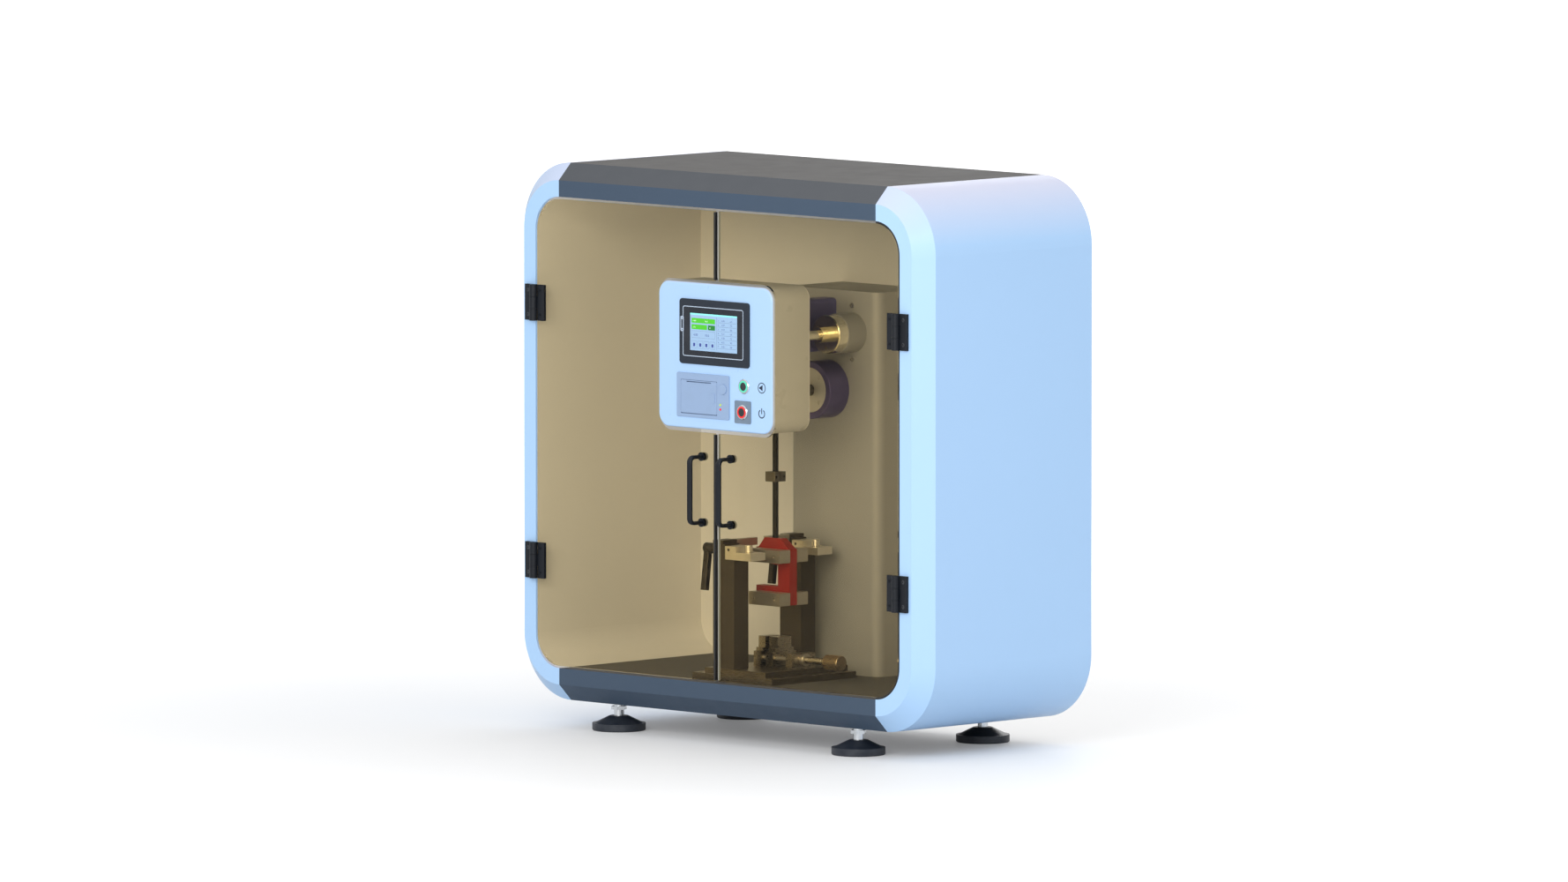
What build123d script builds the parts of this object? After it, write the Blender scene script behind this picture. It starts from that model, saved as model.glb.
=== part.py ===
from build123d import *
import math
import os

# Pendulum impact tester in a glass-fronted cabinet.
# All lengths in mm. X runs left to right seen from the front, the front faces -Y, Z is up.
# The origin is on the floor, under the middle of the part's bounding box.

os.makedirs("parts", exist_ok=True)

# cabinet
cab_w = 1000.0
cab_d = 410.0
cab_h = 933.0
foot_h = 47.0
corner_r = 115.0
seam_x = 385.0
front_chamfer = 29.0
rim_w = 28.5
skin = 4.0
back_t = 5.0
back_recess = 1.0

# doors
glass_t = 6.0
door_gap = 4.0
centre_gap = 12.0
notch_side_gap = 4.5
notch_top_gap = 4.0
notch_bottom_gap = 6.0

# door handles
handle_reach = 32.2
handle_bar_w = 11.0
handle_bar_t = 6.4
handle_x = 35.0
handle_low_z = 333.3
handle_pitch = 113.7
handle_bend_r = 9.0
handle_hole_r = 4.0

# door hinges
hinge_h = 62.4
hinge_half_w = 23.6
leaf_t = 5.8
knuckle_r = 7.2
pin_r = 2.5
pin_play = 0.05
hinge_upper_z = 689.7
hinge_lower_z = 242.2
leaf_screw_r = 3.6
leaf_screw_inset = 10.0

# control box
box_half_w = 138.5
box_low_z = 494.5
box_high_z = 746.5
box_proud = 2.2
box_depth = 90.0
box_corner_r = 24.0
box_edge_r = 4.0
box_wall = 3.5

# operator panel on the control box
hmi_w = 169.0
hmi_h = 112.0
hmi_z = 661.8
hmi_proud = 3.2
screen_w = 147.0
screen_h = 86.5
screen_x = -2.3
printer_w = 127.0
printer_h = 76.0
printer_x = -28.0
printer_z = 552.0
paper_door_w = 87.0
paper_door_h = 57.0
paper_door_x = -37.0
paper_door_z = 549.5
lid_gap = 0.5
lid_swing_gap = 1.1
lid_pocket_r = 1.2
lid_peg_r = 0.7
lid_peg_len = 2.0
lid_peg_play = 0.05
feed_x = 21.6
feed_z = 566.3
feed_r = 8.8
led_x = 15.5
led_upper_z = 539.0
led_lower_z = 531.5
start_x = 70.5
start_z = 574.0
power_x = 68.0
power_z = 529.7
bezel_r = 12.8
ring_r = 10.2
cap_r = 7.2
power_plate_w = 39.0
power_plate_t = 1.6

# pendulum
swing_offset = 145.6
pivot_z = 550.0
shaft_r = 10.0
shaft_play = 0.05
pend_hub_r = 28.0
rod_r = 5.15
rod_start = 18.0
rod_end = 262.0
hammer_plate_t = 17.7
cheek_t = 25.5
hammer_left = -38.0
hammer_right = 43.0
hammer_top = 267.0
hammer_bottom = 364.0
hammer_lip = 333.0
hammer_throat = 14.6
throat_top = 296.0
throat_mouth = 291.0
hammer_hub_h = 17.0
striker_reach = 4.0
striker_w = 12.0
striker_nose = 3.0

# rear pillar and its fittings
pillar_left = -96.0
pillar_right = 120.0
pillar_face = 275.0
pillar_top_z = 722.5
pillar_edge_r = 17.0
bearing_r = 50.0
bearing_len = 46.0
catch_x = 58.0
catch_z = 650.5
catch_boss_r = 34.4
catch_boss_len = 43.0
catch_hub_r = 33.3
catch_hub_len = 22.0
plunger_r = 8.75
plunger_tip = 155.0
plunger_stroke = 22.0
arm_half_w = 19.0
arm_low_z = 617.0
arm_high_z = 708.0

# specimen station
lower_plate_top = 68.7
upper_plate_top = 78.5
column_pitch = 163.0
column_depth = 35.0
column_left = -53.0
column_right = -2.0
column_step_x = -23.7
column_tip_x = -29.7
shoulder_z = 267.5
column_step_z = 293.5
column_top_z = 299.5
lever_z = 282.5
lever_boss_r = 9.3
lever_stud_r = 4.0
lever_boss_len = 35.0
lever_reach = 73.0

# vise
vise_width = 57.4
vise_top_z = 105.0
jaw_top_z = 130.4
screw_z = 93.5
screw_r = 6.0
screw_play = 0.05
screw_tip_x = 11.0
knob_r = 13.3
knob_left = 125.0
knob_right = 160.0

# derived planes
front_y = (handle_reach - cab_d) / 2
back_y = front_y + cab_d
wall = front_chamfer + rim_w
open_half = cab_w / 2 - wall
open_low = foot_h + wall
open_high = foot_h + cab_h - wall
opening_r = corner_r - wall
mid_z = foot_h + cab_h / 2
swing_y = front_y + swing_offset
axis_z = foot_h + pivot_z
hinge_x = open_half - door_gap / 2
hinge_y = front_y - knuckle_r - 0.2


def block(x0, x1, y0, y1, z0, z1):
    return Pos((x0 + x1) / 2, (y0 + y1) / 2, (z0 + z1) / 2) * Box(x1 - x0, y1 - y0, z1 - z0)


def rod_y(x, z, r, y0, y1):
    return Pos(x, (y0 + y1) / 2, z) * Rot(90, 0, 0) * Cylinder(r, y1 - y0)


def rod_x(y, z, r, x0, x1):
    return Pos((x0 + x1) / 2, y, z) * Rot(0, 90, 0) * Cylinder(r, x1 - x0)


def rod_z(x, y, r, z0, z1):
    return Pos(x, y, (z0 + z1) / 2) * Cylinder(r, z1 - z0)


def xz_plane(y):
    return Plane(origin=(0, y, 0), x_dir=(1, 0, 0), z_dir=(0, -1, 0))


def slab(sketch, y0, y1):
    return extrude(xz_plane(y1) * sketch, y1 - y0)


def rounded(x, z, w, h, r, y0, y1):
    return slab(Pos(x, z) * RectangleRounded(w, h, r), y0, y1)


def soften(solid, axis, r, pick=None):
    edges = solid.edges().filter_by(axis)
    if pick is not None:
        edges = edges.filter_by(pick)
    return fillet(edges, r)


def one(*solids):
    total = solids[0]
    for s in solids[1:]:
        total = total + s
    return total


def group(*solids):
    bodies = []
    for s in solids:
        bodies.extend(s.solids())
    return Compound(children=bodies)


def save(name, shape):
    shape.label = name
    export_step(shape, "parts/" + name + ".step")


# rounded ring that the four cabinet mouldings are cut from
def profile(inset, y0, y1):
    return rounded(0, mid_z, cab_w - 2 * inset, cab_h - 2 * inset, corner_r - inset, y0, y1)


def cabinet_ring():
    outer = profile(0, front_y, back_y)
    rim = outer.faces().sort_by(Axis.Y)[0].outer_wire().edges()
    outer = chamfer(rim, front_chamfer)
    return outer - profile(wall, front_y - 1, back_y + 1)


def side_shells(ring):
    behind = front_y + front_chamfer + 3
    hollow = profile(skin, behind, back_y + 1)
    hollow = hollow - profile(wall - skin, behind - 1, back_y + 2)
    nose = profile(front_chamfer + 5, front_y + skin, behind + 1)
    nose = nose - profile(wall - skin, front_y, behind + 2)
    seat = profile(skin, back_y - back_t - back_recess, back_y + 1)
    shells = []
    for side in (-1, 1):
        far = side * (cab_w / 2 + 5)
        near = side * seam_x
        inner = side * (seam_x + skin)
        half = block(min(near, far), max(near, far), front_y - 5, back_y + 5, 0, foot_h + cab_h + 5)
        zone = block(min(inner, far), max(inner, far), front_y - 5, back_y + 5, 0, foot_h + cab_h + 5)
        shell = (ring & half) - ((hollow & zone) + (nose & zone)) - seat
        shells.append(shell)
    return shells


def top_bridge(ring):
    part = ring & block(-seam_x, seam_x, front_y - 5, back_y + 5, mid_z, foot_h + cab_h + 5)
    recess = block(-seam_x - 1, seam_x + 1, front_y + front_chamfer + 4, back_y + 5,
                   open_high - 5, foot_h + cab_h - skin)
    return part - recess


def bottom_bridge(ring):
    part = ring & block(-seam_x, seam_x, front_y - 5, back_y + 5, 0, mid_z)
    hollow = block(-seam_x + skin, seam_x - skin, front_y + front_chamfer + 4, back_y + 5,
                   foot_h + skin, open_low - skin)
    seat = profile(skin, back_y - back_t - back_recess, back_y + 1)
    part = part - hollow - seat
    for x, y in foot_spots():
        part = part + rod_z(x, y, 17, foot_h, foot_h + 20)
        part = part - rod_z(x, y, stud_r, foot_h - 1, foot_h + 18)
    return part


# levelling feet: a broad pad, a chromed stud and its lock nut
pad_r = 46.3
pad_side_h = 13.0
pad_cone_h = 12.5
pad_neck_r = 16.4
stud_r = 8.9
nut_w = 24.0
nut_t = 6.0
foot_x = 291.6
foot_inset = 53.0


def foot_spots():
    rows = (front_y + foot_inset, back_y - foot_inset)
    return [(side * foot_x, y) for side in (-1, 1) for y in rows]


def foot_pads():
    pads = []
    for x, y in foot_spots():
        disc = Pos(x, y, pad_side_h / 2) * Cylinder(pad_r, pad_side_h)
        disc = chamfer(disc.edges().sort_by(Axis.Z)[0], 1.5)
        cone = Pos(x, y, pad_side_h + pad_cone_h / 2) * Cone(pad_r - 4, pad_neck_r, pad_cone_h)
        pads.append(disc + cone - rod_z(x, y, stud_r, 12, 40))
    return group(*pads)


def foot_studs():
    studs = []
    for x, y in foot_spots():
        stud = rod_z(x, y, stud_r, 12, foot_h + 18)
        stud = chamfer(stud.edges().sort_by(Axis.Z)[-1], 1.2)
        studs.append(stud)
        nut = Pos(x, y, 36) * extrude(RegularPolygon(nut_w / 2, 6, major_radius=False), nut_t)
        studs.append(nut - rod_z(x, y, stud_r, 30, 50))
    return group(*studs)


# rear cover with louvre slots behind the pillar and a cut-out for the mains inlet
inlet_x = cab_w / 2 - 170
inlet_z = foot_h + wall / 2
inlet_w = 62.0
inlet_h = 45.0
cover_screw_inset = 45.0
cover_screw_rise = 15.0


def back_panel():
    y1 = back_y - back_recess
    panel = profile(skin + 0.3, y1 - back_t, y1)
    for row in range(7):
        z = foot_h + 560 + row * 16
        for x in (-50, 50):
            slot = slab(Pos(x, z) * SlotOverall(76, 5), y1 - back_t - 1, y1 + 1)
            panel = panel - slot
    panel = panel - rounded(inlet_x, inlet_z, inlet_w - 6, inlet_h - 6, 2, y1 - back_t - 1, y1 + 1)
    for x, z in back_screw_spots():
        panel = panel - rod_y(x, z, 2.2, y1 - back_t - 1, y1 + 1)
    return panel


def back_screw_spots():
    side_x = cab_w / 2 - cover_screw_inset
    low = foot_h + corner_r + cover_screw_rise
    high = foot_h + cab_h - corner_r - cover_screw_rise
    spots = []
    for x in (-side_x, side_x):
        for k in range(4):
            spots.append((x, low + (high - low) * k / 3))
    for x in (-side_x * 0.55, 0, side_x * 0.55):
        spots.append((x, foot_h + wall / 2))
    return spots


def power_inlet():
    y1 = back_y - back_recess
    flange = rounded(inlet_x, inlet_z, inlet_w, inlet_h, 3, y1, y1 + back_recess - 0.1)
    tub = rounded(inlet_x, inlet_z, inlet_w - 6.4, inlet_h - 6.4, 2, y1 - 24, y1)
    body = flange + tub
    socket_x = inlet_x - 11
    body = body - rounded(socket_x, inlet_z, 27, 20, 4, y1 - 18, y1 + 5)
    for dx, dz in ((-7, -2), (7, -2), (0, 4)):
        body = body + block(socket_x + dx - 1, socket_x + dx + 1, y1 - 19, y1 - 3,
                            inlet_z + dz - 2, inlet_z + dz + 2)
    body = body - rounded(inlet_x + 17, inlet_z, 14, 26, 1.5, y1 - 10, y1 + 5)
    return body + rounded(inlet_x + 17, inlet_z, 12.6, 24.6, 1, y1 - 11, y1 + 0.6)


# doors: one pane each side, cut round the control box
def door_pane(side):
    y0 = front_y
    y1 = front_y + glass_t
    w = 2 * (open_half - door_gap)
    h = open_high - open_low - 2 * door_gap
    pane = rounded(0, mid_z, w, h, opening_r - door_gap, y0, y1)
    near = side * centre_gap / 2
    far = side * (open_half + 5)
    pane = pane & block(min(near, far), max(near, far), y0 - 1, y1 + 1, 0, 2 * mid_z)
    notch_half = box_half_w + notch_side_gap
    notch_low = foot_h + box_low_z - notch_bottom_gap
    notch_high = foot_h + box_high_z + notch_top_gap
    pane = pane - rounded(0, (notch_low + notch_high) / 2, 2 * notch_half, notch_high - notch_low,
                          box_corner_r + notch_side_gap, y0 - 1, y1 + 1)
    for z in (handle_low_z, handle_low_z + handle_pitch):
        pane = pane - rod_y(side * handle_x, foot_h + z, handle_hole_r, y0 - 1, y1 + 1)
    return pane


def door_handle(side):
    x = side * handle_x
    lo = foot_h + handle_low_z
    hi = lo + handle_pitch
    far = front_y - handle_reach + handle_bar_t / 2
    path = FilletPolyline((x, front_y - 2, hi), (x, far, hi), (x, far, lo), (x, front_y - 2, lo),
                          radius=handle_bend_r)
    start = Plane(origin=(x, front_y - 2, hi), x_dir=(1, 0, 0), z_dir=(0, -1, 0))
    bar = sweep(start * SlotOverall(handle_bar_w, handle_bar_t), path=path)
    parts = [bar]
    for z in (lo, hi):
        foot = rod_y(x, z, 7.5, front_y - 2.2, front_y)
        stud = rod_y(x, z, handle_hole_r - 0.3, front_y - 1, front_y + glass_t + 5)
        cap = rod_y(x, z, 7, front_y + glass_t, front_y + glass_t + 5)
        cap = chamfer(cap.edges().sort_by(Axis.Y)[-1], 1)
        parts.append(foot + stud + cap)
    return one(*parts)


# hinges: outer knuckles belong to the cabinet leaf, the middle one to the door leaf
def leaf_edges(z, end):
    third = hinge_h / 3
    low = z - hinge_h / 2
    if end == "cabinet":
        return [(low, low + third - 0.2), (low + 2 * third + 0.2, low + hinge_h)]
    return [(low + third + 0.2, low + 2 * third - 0.2)]


def hinge_leaf(side, z, end):
    px = side * hinge_x
    out = side if end == "cabinet" else -side
    near = px + out * (knuckle_r + 0.6)
    far = px + out * hinge_half_w
    leaf = block(min(near, far), max(near, far), front_y - leaf_t, front_y, z - hinge_h / 2, z + hinge_h / 2)
    leaf = fillet(leaf.edges().filter_by(Axis.Z).sort_by(Axis.Y)[:2], 1.2)
    for z0, z1 in leaf_edges(z, end):
        leaf = leaf + rod_z(px, hinge_y, knuckle_r, z0, z1)
        link = block(min(px, near + out), max(px, near + out), front_y - leaf_t, front_y - 0.2, z0, z1)
        leaf = leaf + link
        play = 0 if end == "cabinet" else pin_play
        leaf = leaf - rod_z(px, hinge_y, pin_r + play, z0 - 1, z1 + 1)
    for dz in (-1, 1):
        sx = px + out * 15.5
        sz = z + dz * (hinge_h / 2 - leaf_screw_inset)
        leaf = leaf - rod_y(sx, sz, leaf_screw_r, front_y - leaf_t - 1, front_y - leaf_t + 2.2)
    return leaf


def leaf_screws(side, z, end):
    out = side if end == "cabinet" else -side
    screws = []
    for dz in (-1, 1):
        sx = side * hinge_x + out * 15.5
        sz = z + dz * (hinge_h / 2 - leaf_screw_inset)
        y0 = front_y - leaf_t + 0.4
        head = rod_y(sx, sz, leaf_screw_r - 0.05, y0, front_y - leaf_t + 2.2)
        hexagon = Pos(sx, sz) * RegularPolygon(1.7, 6)
        screws.append(head - slab(hexagon, y0 - 1, y0 + 1.2))
    return screws


def hinge_heights():
    return (foot_h + hinge_upper_z, foot_h + hinge_lower_z)


def hinge_cabinet_leaves():
    leaves = []
    for s in (-1, 1):
        for z in hinge_heights():
            pin = rod_z(s * hinge_x, hinge_y, pin_r, z - hinge_h / 2 + 0.5, z + hinge_h / 2 - 0.5)
            leaves.append(hinge_leaf(s, z, "cabinet") + pin)
    return group(*leaves)


def door_leaves(side):
    parts = []
    for z in hinge_heights():
        parts.append(hinge_leaf(side, z, "door"))
        parts.extend(leaf_screws(side, z, "door"))
    return group(*parts)


# cap screws of the rear cover, the lower plate and the cabinet hinge leaves
def cabinet_screws():
    screws = []
    for s in (-1, 1):
        for z in hinge_heights():
            screws.extend(leaf_screws(s, z, "cabinet"))
    y1 = back_y - back_recess
    for x, z in back_screw_spots():
        head = rod_y(x, z, 4, y1, y1 + back_recess - 0.1)
        shank = rod_y(x, z, 2.15, y1 - back_t, y1)
        cross = block(x - 2.5, x + 2.5, y1 + 0.3, y1 + 2, z - 0.5, z + 0.5)
        screws.append(head + shank - cross)
    for x, y in plate_screw_spots():
        top = foot_h + lower_plate_top
        screw = rod_z(x, y, 6.4, top - 7, top - 0.8)
        hexagon = Pos(x, y, top - 4) * extrude(RegularPolygon(3, 6), 5)
        screws.append(screw - hexagon)
    for dz in (-46.5, 46.5):
        face = front_y + pillar_face
        head = rod_y(catch_x, foot_h + catch_z + dz, 4.2, face - 2.6, face)
        hexagon = Pos(catch_x, foot_h + catch_z + dz) * RegularPolygon(2.3, 6)
        screws.append(head - slab(hexagon, face - 3, face - 1))
    return group(*screws)


# control box: deep shell with a separate rear cover, held by the pillar's arm
def box_mid_z():
    return foot_h + (box_low_z + box_high_z) / 2


def control_box():
    y0 = front_y - box_proud
    y1 = y0 + box_depth
    h = box_high_z - box_low_z
    body = rounded(0, box_mid_z(), 2 * box_half_w, h, box_corner_r, y0, y1)
    body = fillet(body.faces().sort_by(Axis.Y)[0].edges(), box_edge_r)
    cavity = rounded(0, box_mid_z(), 2 * (box_half_w - box_wall), h - 2 * box_wall,
                     box_corner_r - box_wall, y0 + 6, y1 + 1)
    body = body - cavity
    body = body - rounded(0, foot_h + hmi_z, hmi_w - 14, hmi_h - 14, 4, y0 - 1, y0 + 8)
    body = body - rounded(printer_x, foot_h + printer_z, printer_w - 10, printer_h - 10, 3, y0 - 1, y0 + 8)
    for x, z in ((start_x, start_z), (power_x, power_z)):
        body = body - rod_y(x, foot_h + z, ring_r + 0.8, y0 - 1, y0 + 8)
    return body


def control_cover():
    y1 = front_y - box_proud + box_depth
    h = box_high_z - box_low_z
    cover = rounded(0, box_mid_z(), 2 * box_half_w - 1, h - 1, box_corner_r - 0.5, y1, y1 + 2.5)
    inner = rounded(0, box_mid_z(), 2 * (box_half_w - box_wall) - 0.6, h - 2 * box_wall - 0.6,
                    box_corner_r - box_wall, y1 - 3, y1)
    rim = rounded(0, box_mid_z(), 2 * (box_half_w - box_wall) - 6, h - 2 * box_wall - 6,
                  box_corner_r - box_wall - 3, y1 - 4, y1)
    return cover + (inner - rim)


def hmi_bezel():
    y0 = front_y - box_proud - hmi_proud
    z = foot_h + hmi_z
    plate = rounded(0, z, hmi_w, hmi_h, 6, y0, y0 + hmi_proud)
    plate = fillet(plate.faces().sort_by(Axis.Y)[0].edges(), 1.2)
    tub = rounded(0, z, hmi_w - 14.4, hmi_h - 14.4, 4, y0 + hmi_proud, y0 + hmi_proud + 26)
    plate = plate + tub
    groove = rounded(screen_x, z, screen_w + 1, screen_h + 1, 4.5, y0 - 1, y0 + 1.4)
    return plate - groove


def hmi_screen():
    y0 = front_y - box_proud - hmi_proud
    return rounded(screen_x, foot_h + hmi_z, screen_w, screen_h, 4, y0 + 0.5, y0 + 1.4)


def printer_frame():
    y0 = front_y - box_proud - 2.6
    z = foot_h + printer_z
    plate = rounded(printer_x, z, printer_w, printer_h, 3, y0, y0 + 2.6)
    plate = fillet(plate.faces().sort_by(Axis.Y)[0].edges(), 0.9)
    tub = rounded(printer_x, z, printer_w - 10.4, printer_h - 10.4, 3, y0 + 2.6, y0 + 56)
    plate = plate + tub
    pocket_h = paper_door_h + lid_gap + lid_swing_gap
    pocket_z = foot_h + paper_door_z + (lid_gap - lid_swing_gap) / 2
    pocket = rounded(paper_door_x, pocket_z, paper_door_w + 2 * lid_gap, pocket_h, lid_pocket_r,
                     y0 - 1, y0 + 4.2)
    well = block(paper_door_x - 34, paper_door_x + 34, y0 + 3, y0 + 50,
                 foot_h + paper_door_z - 22, foot_h + paper_door_z + 24)
    px, py, pz = printer_hinge()
    half = paper_door_w / 2 + lid_peg_len
    pegs = rod_x(py, pz, lid_peg_r + lid_peg_play, px - half - 0.2, px + half + 0.2)
    plate = plate - pocket - well - pegs
    plate = plate - rod_y(feed_x, foot_h + feed_z, feed_r + 0.05, y0 - 1, y0 + 9)
    plate = plate - rod_y(feed_x, foot_h + feed_z, 3.05, y0 + 5, y0 + 14)
    for lz in (led_upper_z, led_lower_z):
        plate = plate - rod_y(led_x, foot_h + lz, 2.0, y0 - 1, y0 + 3)
    return plate


def printer_hinge():
    y0 = front_y - box_proud - 2.6
    return (paper_door_x, y0 + 1.2, foot_h + paper_door_z - paper_door_h / 2 + 1.4)


def paper_door():
    y0 = front_y - box_proud - 2.6
    z = foot_h + paper_door_z
    lid = rounded(paper_door_x, z, paper_door_w, paper_door_h, 2.4, y0 - 0.6, y0 + 3)
    lid = fillet(lid.faces().sort_by(Axis.Y)[0].edges(), 0.7)
    lid = lid - block(paper_door_x - 30, paper_door_x + 30, y0 - 2, y0 + 4,
                      z + paper_door_h / 2 - 3.6, z + paper_door_h / 2 - 1.8)
    lip = block(paper_door_x + paper_door_w / 2 - 14, paper_door_x + paper_door_w / 2 - 4,
                y0 - 1.6, y0, z - 8, z + 8)
    lip = fillet(lip.edges().filter_by(Axis.Z), 0.4)
    px, py, pz = printer_hinge()
    half = paper_door_w / 2 + lid_peg_len
    return lid + lip + rod_x(py, pz, lid_peg_r, px - half, px + half)


def paper_roll():
    y0 = front_y - box_proud - 2.6
    z = foot_h + paper_door_z
    roll = rod_x(y0 + 27, z, 20, paper_door_x - 28.5, paper_door_x + 28.5)
    axle = rod_x(y0 + 27, z, 4, paper_door_x - 33.9, paper_door_x + 33.9)
    recess = rod_x(y0 + 27, z, 6, paper_door_x - 28.6, paper_door_x + 28.6)
    web = rod_x(y0 + 27, z, 6.2, paper_door_x - 26, paper_door_x + 26)
    return (roll - recess) + web + axle


def feed_button():
    y0 = front_y - box_proud - 2.6
    z = foot_h + feed_z
    cap = rod_y(feed_x, z, feed_r, y0 - 2, y0 + 5)
    cap = fillet(cap.edges().sort_by(Axis.Y)[0], 0.9)
    return cap + rod_y(feed_x, z, 3.0, y0 + 5, y0 + 9)


def status_leds():
    y0 = front_y - box_proud - 2.6
    leds = []
    for lz in (led_upper_z, led_lower_z):
        dome = Pos(led_x, y0, foot_h + lz) * Sphere(2.0)
        leds.append(dome + rod_y(led_x, foot_h + lz, 2.0, y0, y0 + 3))
    return group(*leds)


def button_bezels():
    y0 = front_y - box_proud
    rims = []
    for x, z in ((start_x, start_z), (power_x, power_z)):
        lift = 0.0 if x == start_x else power_plate_t
        rim = rod_y(x, foot_h + z, bezel_r, y0 - lift - 2.6, y0 - lift)
        rim = chamfer(rim.edges().sort_by(Axis.Y)[0], 1.2)
        barrel = rod_y(x, foot_h + z, ring_r + 0.7, y0 - lift, y0 + 30)
        bore = rod_y(x, foot_h + z, ring_r, y0 - lift - 3, y0 + 3)
        deep = rod_y(x, foot_h + z, cap_r + 0.05, y0 + 2, y0 + 24)
        rims.append(rim + barrel - bore - deep)
    return group(*rims)


def light_ring(x, z, lift):
    y0 = front_y - box_proud - lift
    ring = rod_y(x, foot_h + z, ring_r - 0.02, y0 - 3.1, y0 + 3 + lift)
    ring = fillet(ring.edges().sort_by(Axis.Y)[0], 0.5)
    return ring - rod_y(x, foot_h + z, cap_r + 0.05, y0 - 5, y0 + 6 + lift)


def button_cap(x, z, lift):
    y0 = front_y - box_proud - lift
    cap = rod_y(x, foot_h + z, cap_r, y0 - 2.9, y0 + 14)
    return fillet(cap.edges().sort_by(Axis.Y)[0], 0.6)


def power_plate():
    y0 = front_y - box_proud
    plate = rounded(power_x, foot_h + power_z, power_plate_w, power_plate_w, 2.5, y0 - power_plate_t, y0)
    plate = plate - rod_y(power_x, foot_h + power_z, ring_r + 0.75, y0 - 4, y0 + 1)
    return plate


def control_arm():
    z0 = foot_h + arm_low_z
    z1 = foot_h + arm_high_z
    y0 = front_y - box_proud + box_depth + 2.5
    y1 = front_y + pillar_face
    beam = rounded(0, (z0 + z1) / 2, 2 * arm_half_w, z1 - z0, 8, y0 + 4, y1)
    hollow = rounded(0, (z0 + z1) / 2, 2 * arm_half_w - 8, z1 - z0 - 8, 4, y0 + 8, y1 + 1)
    flange = rounded(0, (z0 + z1) / 2, 2 * arm_half_w + 34, z1 - z0 + 10, 5, y0, y0 + 4)
    for x in (-28, 28):
        for z in (z0 + 8, z1 - 8):
            flange = flange - rod_y(x, z, 2.6, y0 - 1, y0 + 5)
    return (beam - hollow) + flange


# pillar behind the pendulum, open towards the rear cover
def pillar_housing():
    y0 = front_y + pillar_face
    y1 = back_y - back_t - back_recess
    z1 = foot_h + pillar_top_z
    body = block(pillar_left, pillar_right, y0, y1, open_low, z1)
    uprights = body.edges().filter_by(Axis.Z).sort_by(Axis.Y)[:2]
    body = fillet(uprights, pillar_edge_r)
    body = fillet(body.faces().sort_by(Axis.Z)[-1].edges().sort_by(Axis.Y)[:-1], 1.5)
    hollow = block(pillar_left + 3, pillar_right - 3, y0 + 3, y1 + 1, open_low - 1, z1 - 3)
    hollow = fillet(hollow.edges().filter_by(Axis.Z).sort_by(Axis.Y)[:2], pillar_edge_r - 3)
    return (body - hollow) + catch_boss()


def bearing_housing():
    y1 = front_y + pillar_face
    y0 = y1 - bearing_len
    drum = rod_y(0, axis_z, bearing_r, y0, y1)
    drum = fillet(drum.edges().sort_by(Axis.Y)[0], 2)
    drum = drum - rod_y(0, axis_z, 39, y0 - 1, y0 + 8)
    return drum - rod_y(0, axis_z, 26, y0, y0 + 34)


def bearing_cover():
    y0 = front_y + pillar_face - bearing_len
    disc = rod_y(0, axis_z, 38.9, y0 + 1, y0 + 8)
    disc = chamfer(disc.edges().sort_by(Axis.Y)[0], 0.8)
    disc = disc - rod_y(0, axis_z, shaft_r + shaft_play, y0, y0 + 9)
    for k in range(4):
        a = math.radians(45 + 90 * k)
        disc = disc - rod_y(30 * math.cos(a), axis_z + 30 * math.sin(a), 3, y0, y0 + 4)
    return disc


def catch_boss():
    y1 = front_y + pillar_face
    boss = rod_y(catch_x, foot_h + catch_z, catch_boss_r, y1 - catch_boss_len, y1)
    boss = fillet(boss.edges().sort_by(Axis.Y)[0], 1.5)
    return boss - rod_y(catch_x, foot_h + catch_z, plunger_r + 1, y1 - catch_boss_len - 1, y1 - 3)


def catch_hub():
    y1 = front_y + pillar_face - catch_boss_len
    y0 = y1 - catch_hub_len
    z = foot_h + catch_z
    hub = rod_y(catch_x, z, catch_hub_r, y0, y1)
    hub = chamfer(hub.edges().sort_by(Axis.Y)[0], 1.5)
    hub = hub + rod_y(catch_x, z, 13.5, y0 - 20, y0)
    hub = hub - rod_y(catch_x, z, plunger_r + 0.05, y0 - 21, y1 + 1)
    for k in range(3):
        a = math.radians(30 + 120 * k)
        hub = hub - rod_y(catch_x + 23 * math.cos(a), z + 23 * math.sin(a), 2.2, y0 - 1, y0 + 5)
    return hub


def release_plunger():
    z = foot_h + catch_z
    tip = front_y + plunger_tip
    pin = rod_y(catch_x, z, plunger_r, tip, front_y + pillar_face - 5 - plunger_stroke)
    return chamfer(pin.edges().sort_by(Axis.Y)[0], 1.5)


# pendulum
def pivot_shaft():
    y1 = front_y + pillar_face - bearing_len + 30
    y0 = swing_y - 24
    shaft = rod_y(0, axis_z, shaft_r, y0, y1)
    nose = rod_y(0, axis_z, 15, swing_y - 23, swing_y - 15)
    nose = chamfer(nose.edges().sort_by(Axis.Y)[0], 1.5)
    hub = rod_y(0, axis_z, pend_hub_r, swing_y - 15, swing_y + 15)
    hub = chamfer(hub.edges().filter_by(GeomType.CIRCLE), 1.5)
    neck = rod_z(0, swing_y, 11, axis_z - 46, axis_z)
    whole = shaft + nose + hub + neck
    return whole - rod_z(0, swing_y, rod_r, axis_z - 50, axis_z - rod_start)


def pendulum_rod():
    return rod_z(0, swing_y, rod_r, axis_z - rod_end, axis_z - rod_start)


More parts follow.
